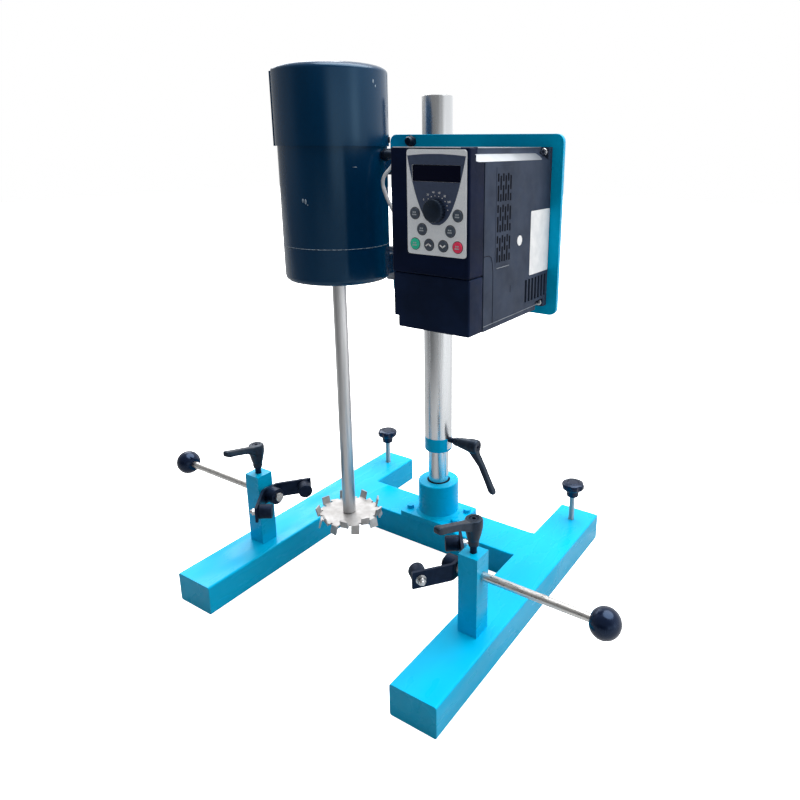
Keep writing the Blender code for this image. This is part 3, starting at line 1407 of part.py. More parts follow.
def build_keypad_panel():
    """Panel that snaps into the cover's pocket, with holes for its keys, dial and display."""
    bm = bmesh.new()
    back = POCKET_FLOOR - GAP
    add_box(bm, (KEYPAD_LEFT, KEYPAD_FACE, KEYPAD_BOTTOM), (KEYPAD_RIGHT, back, KEYPAD_TOP))
    bevel_along(bm, 1, KEYPAD_CORNER, 3)
    panel = finish(bm, "keypad_panel", KEYPAD_SILVER)
    holes = bmesh.new()
    for name in KEYS:
        x, z = key_place(name)
        add_round(holes, KEY_RADIUS + GAP, (x, KEYPAD_FACE - MM, z), (x, 0, z), 12)
    stem = DIAL_STEM_RADIUS + GAP
    dial_front = (KEYPAD_CENTRE, KEYPAD_FACE - MM, DIAL_CENTRE)
    add_round(holes, stem, dial_front, (KEYPAD_CENTRE, 0, DIAL_CENTRE), 16)
    width, height = DISPLAY_WIDTH / 2 + GAP, DISPLAY_HEIGHT / 2 + GAP
    add_box(
        holes,
        (KEYPAD_CENTRE - width, KEYPAD_FACE - MM, DISPLAY_CENTRE - height),
        (KEYPAD_CENTRE + width, KEYPAD_FACE + DISPLAY_DEPTH, DISPLAY_CENTRE + height),
    )
    cut(panel, finish_tool(holes, "keypad_holes"))
    return panel


def build_display_window():
    bm = bmesh.new()
    width, height = DISPLAY_WIDTH / 2, DISPLAY_HEIGHT / 2
    back = KEYPAD_FACE + DISPLAY_DEPTH - GAP
    add_box(
        bm,
        (KEYPAD_CENTRE - width, KEYPAD_FACE + GAP, DISPLAY_CENTRE - height),
        (KEYPAD_CENTRE + width, back, DISPLAY_CENTRE + height),
    )
    return finish(bm, "display_window", DISPLAY_DARK)


def build_speed_knob():
    place = (KEYPAD_CENTRE, KEYPAD_FACE, DIAL_CENTRE)
    stem_end = -(POCKET_FLOOR - KEYPAD_FACE - MM)
    profile = [
        (0, DIAL_HEIGHT),
        (DIAL_RADIUS - 2 * MM, DIAL_HEIGHT),
        (DIAL_RADIUS - MM, DIAL_HEIGHT - MM),
        (DIAL_RADIUS, GAP),
        (DIAL_STEM_RADIUS, GAP),
        (DIAL_STEM_RADIUS, stem_end),
        (0, stem_end),
    ]
    facing = (math.radians(90), 0, 0)
    knob = turned("speed_knob", profile, BLACK_PLASTIC, origin=place, turn=facing, steps=24)
    carry(pivot("speed_knob_axis", place), knob)


def build_keys():
    colours = {"run_button": KEY_GREEN, "stop_button": KEY_RED}
    for name in KEYS:
        x, z = key_place(name)
        front = KEYPAD_FACE - KEY_PROUD
        back = POCKET_FLOOR - GAP - KEY_STROKE - 0.4 * MM
        bm = bmesh.new()
        add_round(bm, KEY_RADIUS, (x, back, z), (x, front, z), 16)
        key = finish(bm, name, colours.get(name, KEY_SLATE), (x, front, z))
        carry(pivot(name + "_axis", (x, front, z)), key)


def build_gland(name, base, out):
    """Hexagonal cable gland with a domed nut and a bore for the lead."""
    bm, dome, bore = bmesh.new(), bmesh.new(), bmesh.new()
    neck = GLAND_LENGTH * 0.4
    add_round(bm, GLAND_RADIUS, base, base + out * neck, 6)
    gland = finish(bm, name, NYLON)
    start, end = base + out * (neck - MM), base + out * GLAND_LENGTH
    add_round(dome, GLAND_RADIUS - MM, start, end, 14, LEAD_RADIUS + 1.5 * MM)
    join(gland, finish_tool(dome, name + "_dome"))
    add_round(bore, LEAD_RADIUS + GAP, base + out * 2 * MM, base + out * 2 * GLAND_LENGTH, 12)
    cut(gland, finish_tool(bore, name + "_bore"))
    return gland


def smooth_route(points, spacing):
    """Points read at even steps from a smooth curve through the given ones."""
    points = [Vector(point) for point in points]
    padded = [2 * points[0] - points[1]] + points + [2 * points[-1] - points[-2]]
    fine = []
    for index in range(1, len(padded) - 2):
        before, start, end, after = padded[index - 1:index + 3]
        for step in range(12):
            t = step / 12
            curve = 2 * start + (end - before) * t
            curve += (2 * before - 5 * start + 4 * end - after) * t ** 2
            curve += (3 * start - before - 3 * end + after) * t ** 3
            fine.append(curve / 2)
    fine.append(points[-1])
    even = [fine[0]]
    travelled = 0.0
    for first, second in zip(fine, fine[1:]):
        travelled += (second - first).length
        if travelled >= spacing:
            even.append(second)
            travelled = 0.0
    even[-1] = fine[-1]
    return even


def build_lead():
    """Short lead that stays on the head, from the motor's gland to the drive's gland."""
    seat = 2.5 * MM
    start = MOTOR_GLAND + Vector((seat, 0, 0))
    end = DRIVE_GLAND - Vector((seat, 0, 0))
    straight = Vector((GLAND_LENGTH - seat, 0, 0))
    clear = Vector((2 * MM, 0, 0))
    route = [start, start + straight, start + straight + clear]
    route += [Vector(point) * MM for point in LEAD_ROUTE]
    route += [end - straight - clear, end - straight, end]
    points = smooth_route(route, 2.6 * LEAD_RADIUS)
    curve = bpy.data.curves.new("supply_lead", "CURVE")
    curve.dimensions = "3D"
    curve.bevel_depth = LEAD_RADIUS
    curve.bevel_resolution = 1
    curve.use_fill_caps = True
    curve.render_resolution_u = 0
    spline = curve.splines.new("POLY")
    spline.points.add(len(points) - 1)
    for spot, point in zip(spline.points, points):
        spot.co = (*point, 1.0)
    curve.materials.append(LEAD_GREY)
    lead = bpy.data.objects.new("supply_lead", curve)
    PARTS.objects.link(lead)
    return lead


def build_frame():
    for side in (-1, 1):
        build_rail(side)
    build_cross_beam()
    build_column_socket()
    build_column()


def build_head():
    pieces = [
        build_outer_tube(),
        build_mounting_plate(),
        build_tube_clamp(),
        build_motor_body(),
        build_end_bell(),
        build_bearing("lower_bearing", MOTOR_BOTTOM + 22 * MM - BEARING_HEIGHT - GAP, SHAFT_RADIUS),
        build_bearing("upper_bearing", MOTOR_SHIELD_TOP - MOTOR_SHIELD_THICKNESS + GAP, SHAFT_TOP_RADIUS),
        build_stator_core(),
        build_fan_cowl(),
        build_drive_housing(),
        build_front_cover(),
        build_lower_cover(),
        build_keypad_panel(),
        build_display_window(),
        build_gland("motor_gland", MOTOR_GLAND, Vector((1, 0, 0))),
        build_gland("drive_gland", DRIVE_GLAND, Vector((-1, 0, 0))),
        build_lead(),
    ]
    carry(pivot("swivel_axis", (0, 0, 0)), *pieces)


def build_rotor():
    pieces = [build_motor_shaft(), build_cooling_fan(), build_disc(), build_disc_nut()]
    carry(pivot("shaft_axis", MOTOR_AXIS), *pieces)


build_frame()
for clamp_side in (-1, 1):
    build_clamp(clamp_side)
    build_jack(clamp_side)
build_guide_bush()
build_head()
build_column_lever()
build_rotor()
build_speed_knob()
build_keys()
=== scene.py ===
"""Looks of a laboratory disperser: finishes, small fittings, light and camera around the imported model.

Metres, +Z up, front towards -Y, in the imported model's own frame.
"""
import json
import math

import bmesh
import bpy
from bpy.props import FloatProperty, FloatVectorProperty, IntProperty, PointerProperty
from mathutils import Matrix, Vector

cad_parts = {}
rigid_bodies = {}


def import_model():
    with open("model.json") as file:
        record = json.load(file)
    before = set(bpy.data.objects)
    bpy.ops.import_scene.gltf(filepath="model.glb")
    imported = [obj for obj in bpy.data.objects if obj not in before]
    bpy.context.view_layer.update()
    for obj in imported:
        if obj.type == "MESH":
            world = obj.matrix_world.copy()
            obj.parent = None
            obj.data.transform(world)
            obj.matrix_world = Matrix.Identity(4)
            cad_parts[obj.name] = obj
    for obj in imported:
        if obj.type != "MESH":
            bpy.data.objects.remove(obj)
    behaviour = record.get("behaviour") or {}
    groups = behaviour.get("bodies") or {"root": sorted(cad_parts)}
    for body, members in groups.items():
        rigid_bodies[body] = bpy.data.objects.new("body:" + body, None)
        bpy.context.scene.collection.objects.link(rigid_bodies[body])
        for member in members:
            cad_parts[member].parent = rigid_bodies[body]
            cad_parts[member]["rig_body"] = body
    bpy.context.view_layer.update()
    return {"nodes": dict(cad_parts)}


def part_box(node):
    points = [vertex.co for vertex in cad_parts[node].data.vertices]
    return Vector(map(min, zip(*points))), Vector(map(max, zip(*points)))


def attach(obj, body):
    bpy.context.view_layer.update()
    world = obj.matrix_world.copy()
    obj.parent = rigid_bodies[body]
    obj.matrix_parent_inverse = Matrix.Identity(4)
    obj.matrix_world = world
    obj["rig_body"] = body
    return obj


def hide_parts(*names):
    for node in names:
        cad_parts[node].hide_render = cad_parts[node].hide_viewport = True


bl_info = {
    "name": "Laboratory Disperser Looks",
    "version": (1, 0, 0),
    "blender": (4, 5, 0),
    "location": "View3D > Sidebar > Disperser",
    "description": "Dresses the packed laboratory disperser and sets its studio",
    "category": "Object",
}

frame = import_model()
NODES = frame["nodes"]

MM = 0.001
SIDES = {"left": -1, "right": 1}
SMOOTH_ANGLE = math.radians(32)


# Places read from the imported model


def middle(node):
    first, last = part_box(node)
    return (first + last) / 2


def low(node):
    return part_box(node)[0]


def high(node):
    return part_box(node)[1]


MOTOR = middle("fan_cowl")
MOTOR_AXIS = Matrix.Translation((MOTOR.x, MOTOR.y, 0))
COWL_RADIUS = (high("fan_cowl").x - low("fan_cowl").x) / 2
BODY_RADIUS = 66 * MM
CLAMP = middle("right_clamp_rod")
PANEL = middle("keypad_panel")
PANEL_FACE = low("keypad_panel").y
DRIVE_SIDE = high("drive_housing").x
DRIVE_TOP = high("drive_housing").z
DIAL = middle("speed_knob")

# The ledge along the drive's upper right edge: its width, its step down and the fall of its floor
LEDGE_WIDTH = 9 * MM
LEDGE_DROP = 6.5 * MM
LEDGE_FALL = 7 * MM

# Front faces of the mounting plate, and of what is bolted to it
PLATE_FACE = -35.75 * MM
FOOT_FACE = -45.7 * MM

FRONT = (0, -1, 0)
TUBE_WALL = 3 * MM
COLUMN_RADIUS = 15 * MM

# The symbol on each key
KEYS = {
    "run_button": "go",
    "up_button": "up",
    "down_button": "down",
    "stop_button": "halt",
    "menu_button": "bars",
    "enter_button": "bars",
    "shift_button": "bars",
    "jog_button": "bars",
}


def srgb(code):
    """Linear colour of an sRGB hex code."""
    values = [int(code[i:i + 2], 16) / 255 for i in (0, 2, 4)]
    linear = [v / 12.92 if v <= 0.04045 else ((v + 0.055) / 1.055) ** 2.4 for v in values]
    return (*linear, 1.0)


# Sizes and colours that a user would change


class FrameLooks(bpy.types.PropertyGroup):
    """Sizes of the painted frame's finish."""

    paint: FloatVectorProperty(
        name="Paint", description="Blue enamel", subtype="COLOR", default=srgb("00AEDD")[:3]
    )
    edge: FloatProperty(
        name="Edge", description="Radius of broken edges", default=0.8 * MM, unit="LENGTH"
    )
    bead: FloatProperty(
        name="Weld Bead", description="Radius of the weld round the socket", default=2.4 * MM, unit="LENGTH"
    )


class MotorLooks(bpy.types.PropertyGroup):
    """Sizes of the motor's finish."""

    enamel: FloatVectorProperty(
        name="Enamel", description="Navy enamel", subtype="COLOR", default=srgb("002B4B")[:3]
    )
    seam: FloatProperty(
        name="Seam", description="Width of the cowl's folded seam", default=7 * MM, unit="LENGTH"
    )


class DriveLooks(bpy.types.PropertyGroup):
    """Sizes of the drive's keypad print and side."""

    shield_width: FloatProperty(
        name="Shield Width", description="Width of the dark print", default=67.4 * MM, unit="LENGTH"
    )
    scale_dots: IntProperty(
        name="Scale Dots", description="Dots round the speed knob", default=11, min=2
    )
    symbol: FloatProperty(
        name="Symbol", description="Width of an arrow key's chevron", default=6.4 * MM, unit="LENGTH"
    )


class StageLooks(bpy.types.PropertyGroup):
    """Studio light and camera."""

    lens: FloatProperty(
        name="Lens", description="Focal length on a 36 mm sensor", default=30.256, min=1
    )
    overhead: FloatProperty(
        name="Overhead Light", description="Strength of the large overhead light", default=4.3, min=0
    )
    rear: FloatProperty(
        name="Rear Light", description="Power of the rear left softbox in watts", default=20, min=0
    )
    surroundings: FloatProperty(
        name="Surroundings", description="Strength of the studio all round", default=1.0, min=0
    )


# Finishes


def add(tree, kind, settings=None, inputs=None, **named_inputs):
    """Add a node with its settings and its inputs, each of them a value or an incoming link."""
    node = tree.nodes.new(kind)
    for key, value in (settings or {}).items():
        setattr(node, key, value)
    named = {key.replace("_", " "): value for key, value in named_inputs.items()}
    for key, value in {**(inputs or {}), **named}.items():
        if isinstance(value, bpy.types.NodeSocket):
            tree.links.new(value, node.inputs[key])
        else:
            node.inputs[key].default_value = value
    return node


def new_finish(name, color, roughness, **shader_values):
    """Material with its node tree and shader, to be given its detail."""
    material = bpy.data.materials.new(name)
    material.use_nodes = True
    tree = material.node_tree
    shader = tree.nodes["Principled BSDF"]
    shader.inputs["Base Color"].default_value = color
    shader.inputs["Roughness"].default_value = roughness
    for key, value in shader_values.items():
        shader.inputs[key.replace("_", " ")].default_value = value
    return material, tree, shader


def grain(tree, size, detail=2.0, stretch=(1, 1, 1)):
    """Noise whose cells are about as large as a size in metres, stretched along an axis."""
    place = add(tree, "ShaderNodeTexCoord")
    scale = add(tree, "ShaderNodeMapping", Vector=place.outputs["Object"], Scale=stretch)
    return add(tree, "ShaderNodeTexNoise", Vector=scale.outputs["Vector"], Scale=1 / size, Detail=detail)


def tint(tree, shader, amount, first, second):
    """Colour the finish between two colours by an amount."""
    # The colours of a Mix node are its inputs 6 and 7 and its output 2
    mix = add(tree, "ShaderNodeMix", {"data_type": "RGBA"}, {6: first, 7: second}, Factor=amount)
    tree.links.new(mix.outputs[2], shader.inputs["Base Color"])


def vary_color(tree, shader, first, second, size, low_end=0.35, high_end=0.65, stretch=(1, 1, 1)):
    """Blotches of two colours."""
    noise = grain(tree, size, 3.0, stretch)
    amount = add(
        tree, "ShaderNodeMapRange", Value=noise.outputs["Fac"], From_Min=low_end, From_Max=high_end
    )
    tint(tree, shader, amount.outputs["Result"], first, second)


def vary_roughness(tree, shader, lowest, highest, size, stretch=(1, 1, 1)):
    """Blotches of gloss."""
    noise = grain(tree, size, 3.0, stretch)
    gloss = add(
        tree,
        "ShaderNodeMapRange",
        Value=noise.outputs["Fac"],
        From_Min=0.35,
        From_Max=0.65,
        To_Min=lowest,
        To_Max=highest,
    )
    tree.links.new(gloss.outputs["Result"], shader.inputs["Roughness"])


def bump(tree, shader, size, depth, detail=2.0, stretch=(1, 1, 1)):
    """Relief of a real depth from noise of a real size."""
    noise = grain(tree, size, detail, stretch)
    relief = add(tree, "ShaderNodeBump", Height=noise.outputs["Fac"], Strength=1.0, Distance=depth)
    tree.links.new(relief.outputs["Normal"], shader.inputs["Normal"])


def blue_enamel():
    """Brushed alkyd enamel on steel: glossy, with shallow lengthwise brush waves that break its glare."""
    paint = (*bpy.context.scene.disperser_frame.paint, 1.0)
    material, tree, shader = new_finish(
        "blue_enamel", paint, 0.25, Specular_IOR_Level=0.35, Specular_Tint=(0.02, 0.6, 1.0, 1.0)
    )
    thin = tuple(0.9 * c for c in paint[:3]) + (1.0,)
    vary_color(tree, shader, thin, paint, 45 * MM, 0.3, 0.6, (1, 0.35, 1))
    vary_roughness(tree, shader, 0.14, 0.42, 26 * MM, (1, 0.3, 1))
    bump(tree, shader, 14 * MM, 0.05 * MM, 1.0, (1, 0.3, 1))
    return material


def navy_enamel():
    """Baked enamel on rolled sheet: deep and glossy, softly uneven along the sheet."""
    paint = (*bpy.context.scene.disperser_motor.enamel, 1.0)
    material, tree, shader = new_finish(
        "navy_enamel", paint, 0.22, Specular_IOR_Level=0.5, Specular_Tint=(0.45, 0.75, 1.0, 1.0)
    )
    lighter = tuple(min(1.0, 1.25 * c) for c in paint)
    vary_color(tree, shader, paint, lighter, 70 * MM, stretch=(1, 1, 0.3))
    vary_roughness(tree, shader, 0.17, 0.28, 60 * MM, (1, 1, 0.3))
    return material


def hard_chrome():
    """Hard chromed and polished tube: a mirror with faint lengthwise polish lines."""
    material, tree, shader = new_finish("hard_chrome", srgb("CDD0D3"), 0.22, Metallic=1.0)
    vary_roughness(tree, shader, 0.18, 0.28, 3 * MM, (1, 1, 0.02))
    bump(tree, shader, 1.5 * MM, 0.001 * MM, stretch=(1, 1, 0.03))
    return material


def drawn_stainless():
    """Drawn stainless bar: satin, with lengthwise draw lines and small nicks."""
    material, tree, shader = new_finish("drawn_stainless", srgb("BFC0C2"), 0.34, Metallic=1.0)
    vary_color(tree, shader, srgb("B2B3B5"), srgb("CCCDCF"), 6 * MM, stretch=(1, 1, 0.05))
    vary_roughness(tree, shader, 0.28, 0.4, 2.5 * MM, (1, 1, 0.03))
    bump(tree, shader, 1.2 * MM, 0.0015 * MM, stretch=(1, 1, 0.03))
    return material


def drawn_rod():
    """Zinc-plated drawn rod: satin, with dark pits a millimetre or two long where the plating is worn."""
    material, tree, shader = new_finish("drawn_rod", srgb("BDBCBA"), 0.3, Metallic=1.0)
    vary_color(tree, shader, srgb("6C6A68"), srgb("CCCBC9"), 1.8 * MM, 0.27, 0.38, (0.5, 1, 1))
    vary_roughness(tree, shader, 0.22, 0.42, 3 * MM, (0.2, 1, 1))
    bump(tree, shader, 1.8 * MM, 0.006 * MM)
    return material


def cut_stainless():
    """Laser-cut stainless sheet: bright, with rolled grain and rubbed blotches."""
    material, tree, shader = new_finish("cut_stainless", srgb("B2B0AF"), 0.45, Metallic=0.6)
    vary_color(tree, shader, srgb("A4A2A1"), srgb("BCBBBB"), 12 * MM)
    vary_roughness(tree, shader, 0.4, 0.55, 8 * MM)
    bump(tree, shader, 1.5 * MM, 0.003 * MM, stretch=(1, 0.1, 1))
    return material


def zinc_plate():
    """Zinc-plated fasteners: bright grey with a faint spangle."""
    material, tree, shader = new_finish("zinc_plate", srgb("BFC1C3"), 0.25, Metallic=1.0)
    vary_roughness(tree, shader, 0.18, 0.38, 1.5 * MM)
    bump(tree, shader, 1.0 * MM, 0.02 * MM)
    return material


def threaded_zinc():
    """Rolled thread on a zinc-plated screw, drawn as relief."""
    pitch = 1.25 * MM
    material, tree, shader = new_finish("threaded_zinc", srgb("B4B6B8"), 0.3, Metallic=1.0)
    place = add(tree, "ShaderNodeTexCoord")
    wave = add(
        tree,
        "ShaderNodeTexWave",
        {"bands_direction": "Z"},
        Vector=place.outputs["Object"],
        # At a scale of 1 this texture's bands repeat every 2 pi / 20
        Scale=2 * math.pi / 20 / pitch,
        Distortion=0.0,
    )
    relief = add(tree, "ShaderNodeBump", Height=wave.outputs["Fac"], Strength=1.0, Distance=0.35 * MM)
    tree.links.new(relief.outputs["Normal"], shader.inputs["Normal"])
    return material


def glass_filled_nylon():
    """Moulded glass-filled nylon: black, satin, with the mould's spark texture."""
    tint_of_shine = (0.55, 0.75, 1.0, 1.0)
    material, tree, shader = new_finish(
        "glass_filled_nylon", srgb("0B1220"), 0.34, Specular_IOR_Level=0.45, Specular_Tint=tint_of_shine
    )
    vary_color(tree, shader, srgb("09101C"), srgb("101A2B"), 4 * MM)
    vary_roughness(tree, shader, 0.32, 0.46, 3 * MM)
    bump(tree, shader, 0.7 * MM, 0.015 * MM)
    return material


def phenolic():
    """Compression-moulded phenolic ball: black, polished in its mould."""
    material, tree, shader = new_finish(
        "phenolic", srgb("0A1226"), 0.2, Specular_IOR_Level=0.45, Specular_Tint=(0.4, 0.6, 1.0, 1.0)
    )
    vary_roughness(tree, shader, 0.14, 0.28, 9 * MM)
    bump(tree, shader, 8 * MM, 0.01 * MM)
    return material


def black_powder_coat():
    """Powder-coated steel strip: black, satin, finely pebbled."""
    material, tree, shader = new_finish(
        "black_powder_coat", srgb("0D1626"), 0.36, Specular_IOR_Level=0.25, Specular_Tint=(0.3, 0.5, 1.0, 1.0)
    )
    vary_color(tree, shader, srgb("0A1220"), srgb("121D30"), 10 * MM)
    vary_roughness(tree, shader, 0.3, 0.48, 6 * MM)
    bump(tree, shader, 0.9 * MM, 0.02 * MM)
    return material


def moulded_rubber():
    """Moulded natural rubber: black and dull, with a dusty bloom."""
    material, tree, shader = new_finish(
        "moulded_rubber", srgb("0D1422"), 0.5, Specular_IOR_Level=0.25, Specular_Tint=(0.3, 0.5, 1.0, 1.0)
    )
    vary_color(tree, shader, srgb("0A101C"), srgb("131B2A"), 7 * MM)
    vary_roughness(tree, shader, 0.4, 0.6, 5 * MM)
    bump(tree, shader, 1.2 * MM, 0.05 * MM)
    return material


def shaded_cover_abs():
    """Moulded ABS cover, finely spark-textured so that it barely shines: near-black navy, a darker copy of
    the housing's ABS, painted shade for the front that faces the dark room.
    """
    material, tree, shader = new_finish("shaded_cover_abs", srgb("081430"), 0.45, Specular_IOR_Level=0.06)
    vary_color(tree, shader, srgb("07122A"), srgb("0A1734"), 25 * MM)
    vary_roughness(tree, shader, 0.4, 0.5, 12 * MM)
    bump(tree, shader, 0.7 * MM, 0.01 * MM)
    return material


def shaded_terminal_abs():
    """The same ABS on the terminal cover, a little greyer: like the front cover, a darker copy of the
    housing's ABS, painted shade for the front.
    """
    material, tree, shader = new_finish("shaded_terminal_abs", srgb("0D1C38"), 0.45, Specular_IOR_Level=0.07)
    vary_color(tree, shader, srgb("0B1932"), srgb("10203D"), 25 * MM)
    vary_roughness(tree, shader, 0.38, 0.5, 12 * MM)
    bump(tree, shader, 0.7 * MM, 0.01 * MM)
    return material


def lit_housing_abs():
    """Moulded ABS housing, finely spark-textured: charcoal, a lighter copy of the covers' ABS, painted light
    for the side that faces the bright right.
    """
    material, tree, shader = new_finish("lit_housing_abs", srgb("343D4F"), 0.45, Specular_IOR_Level=0.07)
    vary_color(tree, shader, srgb("30394A"), srgb("394356"), 30 * MM)
    vary_roughness(tree, shader, 0.38, 0.5, 12 * MM)
    bump(tree, shader, 0.7 * MM, 0.012 * MM)
    return material


def keypad_film():
    """Screen-printed polyester film: silver grey with fine metal flake."""
    material, tree, shader = new_finish("keypad_film", srgb("F0F6FC"), 0.4, Specular_IOR_Level=0.3)
    vary_color(tree, shader, srgb("E8EEF5"), srgb("F7FBFF"), 0.8 * MM)
    vary_roughness(tree, shader, 0.32, 0.44, 6 * MM)
    return material


def printed_ink(name, code, roughness=0.35):
    """Screen-printed ink under film: an even colour with a slight unevenness of the print."""
    material, tree, shader = new_finish(name, srgb(code), roughness)
    base = srgb(code)
    vary_color(tree, shader, base, tuple(0.88 * c for c in base[:3]) + (1.0,), 3 * MM)
    return material


def silicone_key(name, code):
    """Moulded key: satin, with the touch of many fingers in its gloss."""
    material, tree, shader = new_finish(name, srgb(code), 0.35)
    base = srgb(code)
    vary_color(tree, shader, base, tuple(0.85 * c for c in base[:3]) + (1.0,), 2 * MM)
    vary_roughness(tree, shader, 0.28, 0.42, 2 * MM)
    return material


def window_acrylic():
    """Smoked acrylic window over an unlit display."""
    material, tree, shader = new_finish("window_acrylic", srgb("070B20"), 0.15, Specular_IOR_Level=0.08)
    vary_roughness(tree, shader, 0.1, 0.18, 10 * MM)
    return material


def label_paper():
    """Blank polyester sticker: white, slightly glossy."""
    material, tree, shader = new_finish("label_film", srgb("EDEFF0"), 0.35)
    vary_color(tree, shader, srgb("E6E8EA"), srgb("F4F5F6"), 12 * MM)
    return material


def lead_sheath():
    """Extruded PVC sheath: pale grey, smooth."""
    material, tree, shader = new_finish("pvc_sheath", srgb("C9CCD0"), 0.35)
    vary_color(tree, shader, srgb("B9BCC1"), srgb("D8DADD"), 8 * MM)
    bump(tree, shader, 2 * MM, 0.02 * MM)
    return material


def bearing_bronze():
    """Sintered bronze bush: warm and finely porous."""
    material, tree, shader = new_finish("sintered_bronze", srgb("A67C45"), 0.38, Metallic=1.0)
    vary_color(tree, shader, srgb("8D6837"), srgb("B98D52"), 2 * MM)
    bump(tree, shader, 0.5 * MM, 0.03 * MM)
    return material


def core_laminations():
    """Stacked core steel: dull grey with the 0.5 mm sheets drawn 2 mm apart so that they show."""
    material, tree, shader = new_finish("core_laminations", srgb("5E6064"), 0.5, Metallic=1.0)
    bump(tree, shader, 2 * MM, 0.1 * MM, stretch=(0.02, 0.02, 1))
    return material


def cast_aluminium():
    """Bare cast aluminium foot: pale grey and sandy."""
    material, tree, shader = new_finish("cast_aluminium", srgb("8C929C"), 0.5, Metallic=0.2)
    vary_color(tree, shader, srgb("7A808A"), srgb("9EA4AE"), 5 * MM)
    bump(tree, shader, 1.2 * MM, 0.08 * MM)
    return material


def pale_chip_and_highlight():
    """Pale grey-blue: primer showing in chipped enamel, painted highlights on the motor, and a pale line at
    the end bell's joint.
    """
    material, tree, shader = new_finish("pale_chip_and_highlight", srgb("7F93A8"), 0.5)
    vary_color(tree, shader, srgb("56687C"), srgb("A9BBCB"), 3 * MM)
    return material


def painted_highlight_edge():
    """Painted highlight on the drive's case: pale grey where light catches its upper edges and the ledge's
    floor, fading darker towards the back.
    """
    material, tree, shader = new_finish("painted_highlight_edge", srgb("C4C8CD"), 0.5, Specular_IOR_Level=0.25)
    place = add(tree, "ShaderNodeTexCoord")
    axes = add(tree, "ShaderNodeSeparateXYZ", Vector=place.outputs["Object"])
    noise = grain(tree, 30 * MM)
    # The painted highlight fades out between 140 and 40 mm in front of the column, unevenly by a centimetre
    # or two
    shift = add(tree, "ShaderNodeMath", {"operation": "MULTIPLY_ADD"}, {
        0: noise.outputs["Fac"], 1: 50 * MM, 2: axes.outputs["Y"],
    })
    # Share of the painted highlight's fade: pale in front, darker towards the back
    worn = add(
        tree,
        "ShaderNodeMapRange",
        Value=shift.outputs["Value"],
        From_Min=-140 * MM,
        From_Max=-40 * MM,
    )
    tint(tree, shader, worn.outputs["Result"], srgb("BCC1C7"), srgb("5C626A"))
    return material


def painted_highlight_grey():
    """Painted highlight in mid grey on low moulded lips and folds of the drive's side that face up to the
    light.
    """
    material, tree, shader = new_finish("painted_highlight_grey", srgb("7C838C"), 0.5, Specular_IOR_Level=0.2)
    vary_color(tree, shader, srgb("6C737D"), srgb("868D96"), 20 * MM)
    return material


def shade_and_joint_black():
    """Near black: painted shade for the unlit depth of a gap, slot and vents, and the dark of moulded joint
    lines.
    """
    material, tree, shader = new_finish("shade_and_joint_black", srgb("060912"), 0.7, Specular_IOR_Level=0.05)
    vary_color(tree, shader, srgb("05070E"), srgb("0A0E1A"), 3 * MM)
    return material


SURFACES = (
    blue_enamel, navy_enamel, hard_chrome, drawn_stainless, drawn_rod, cut_stainless, zinc_plate,
    threaded_zinc, glass_filled_nylon, phenolic, black_powder_coat, moulded_rubber, shaded_cover_abs,
    shaded_terminal_abs, lit_housing_abs, painted_highlight_edge, painted_highlight_grey, pale_chip_and_highlight, keypad_film, window_acrylic,
    label_paper, lead_sheath, bearing_bronze, core_laminations, cast_aluminium, shade_and_joint_black,
)
MAKERS = {
    "go_ink": lambda: silicone_key("go_key", "2BD8B0"),
    "halt_ink": lambda: silicone_key("halt_key", "FF3A66"),
    "slate_key": lambda: silicone_key("slate_key", "4A5665"),
    "shield_ink": lambda: printed_ink("shield_ink", "3E4C68"),
    "white_ink": lambda: printed_ink("white_ink", "FFFFFF"),
    "grey_ink": lambda: printed_ink("grey_ink", "B9C0C8"),
    "rim_ink": lambda: printed_ink("rim_ink", "20262E"),
}
MAKERS.update({maker.__name__: maker for maker in SURFACES})
FINISHES = {}


def finish(name):
    """The finish of that name, made once."""
    if name not in FINISHES:
        FINISHES[name] = MAKERS[name]()
    return FINISHES[name]


# Modelling, as by hand


def deselect():
    """Leave edit mode and select nothing."""
    if bpy.context.mode != "OBJECT":
        bpy.ops.object.mode_set(mode="OBJECT")
    bpy.ops.object.select_all(action="DESELECT")


def begin(primitive, name, **size):
    """Add a primitive with nothing else selected, and name it."""
    deselect()
    primitive(**size)
    piece = bpy.context.object
    piece.name = name
    piece.data.name = name
    return piece


def focus(piece):
    """Select one piece alone and make it active."""
    deselect()
    bpy.context.view_layer.objects.active = piece
    piece.select_set(True)


def edit(piece):
    """Open one piece in edit mode with all of it selected."""
    focus(piece)
    bpy.ops.object.mode_set(mode="EDIT")
    bpy.ops.mesh.select_all(action="SELECT")


def pick_faces(piece, test):
    """In edit mode, select the faces whose centre and normal pass a test."""
    bpy.ops.mesh.select_mode(type="FACE")
    mesh = bmesh.from_edit_mesh(piece.data)
    for face in mesh.faces:
        face.select_set(bool(test(face.calc_center_median(), face.normal)))
    bmesh.update_edit_mesh(piece.data)


def pick_verts(piece, test):
    """In edit mode, select the vertices whose place passes a test."""
    bpy.ops.mesh.select_mode(type="VERT")
    mesh = bmesh.from_edit_mesh(piece.data)
    for vert in mesh.verts:
        vert.select_set(False)
    for vert in mesh.verts:
        if test(vert.co):
            vert.select_set(True)
    mesh.select_flush_mode()
    bmesh.update_edit_mesh(piece.data)


def modify(piece, kind, **settings):
    """Add a modifier and apply it."""
    focus(piece)
    change = piece.modifiers.new(kind.lower(), kind)
    for key, value in settings.items():
        setattr(change, key, value)
    bpy.ops.object.modifier_apply(modifier=change.name)


def soften(piece, width, segments=2, angle=35):
    """Round the edges that are sharper than an angle."""
    modify(
        piece,
        "BEVEL",
        width=width,
        segments=segments,
        limit_method="ANGLE",
        angle_limit=math.radians(angle),
        use_clamp_overlap=True,
    )


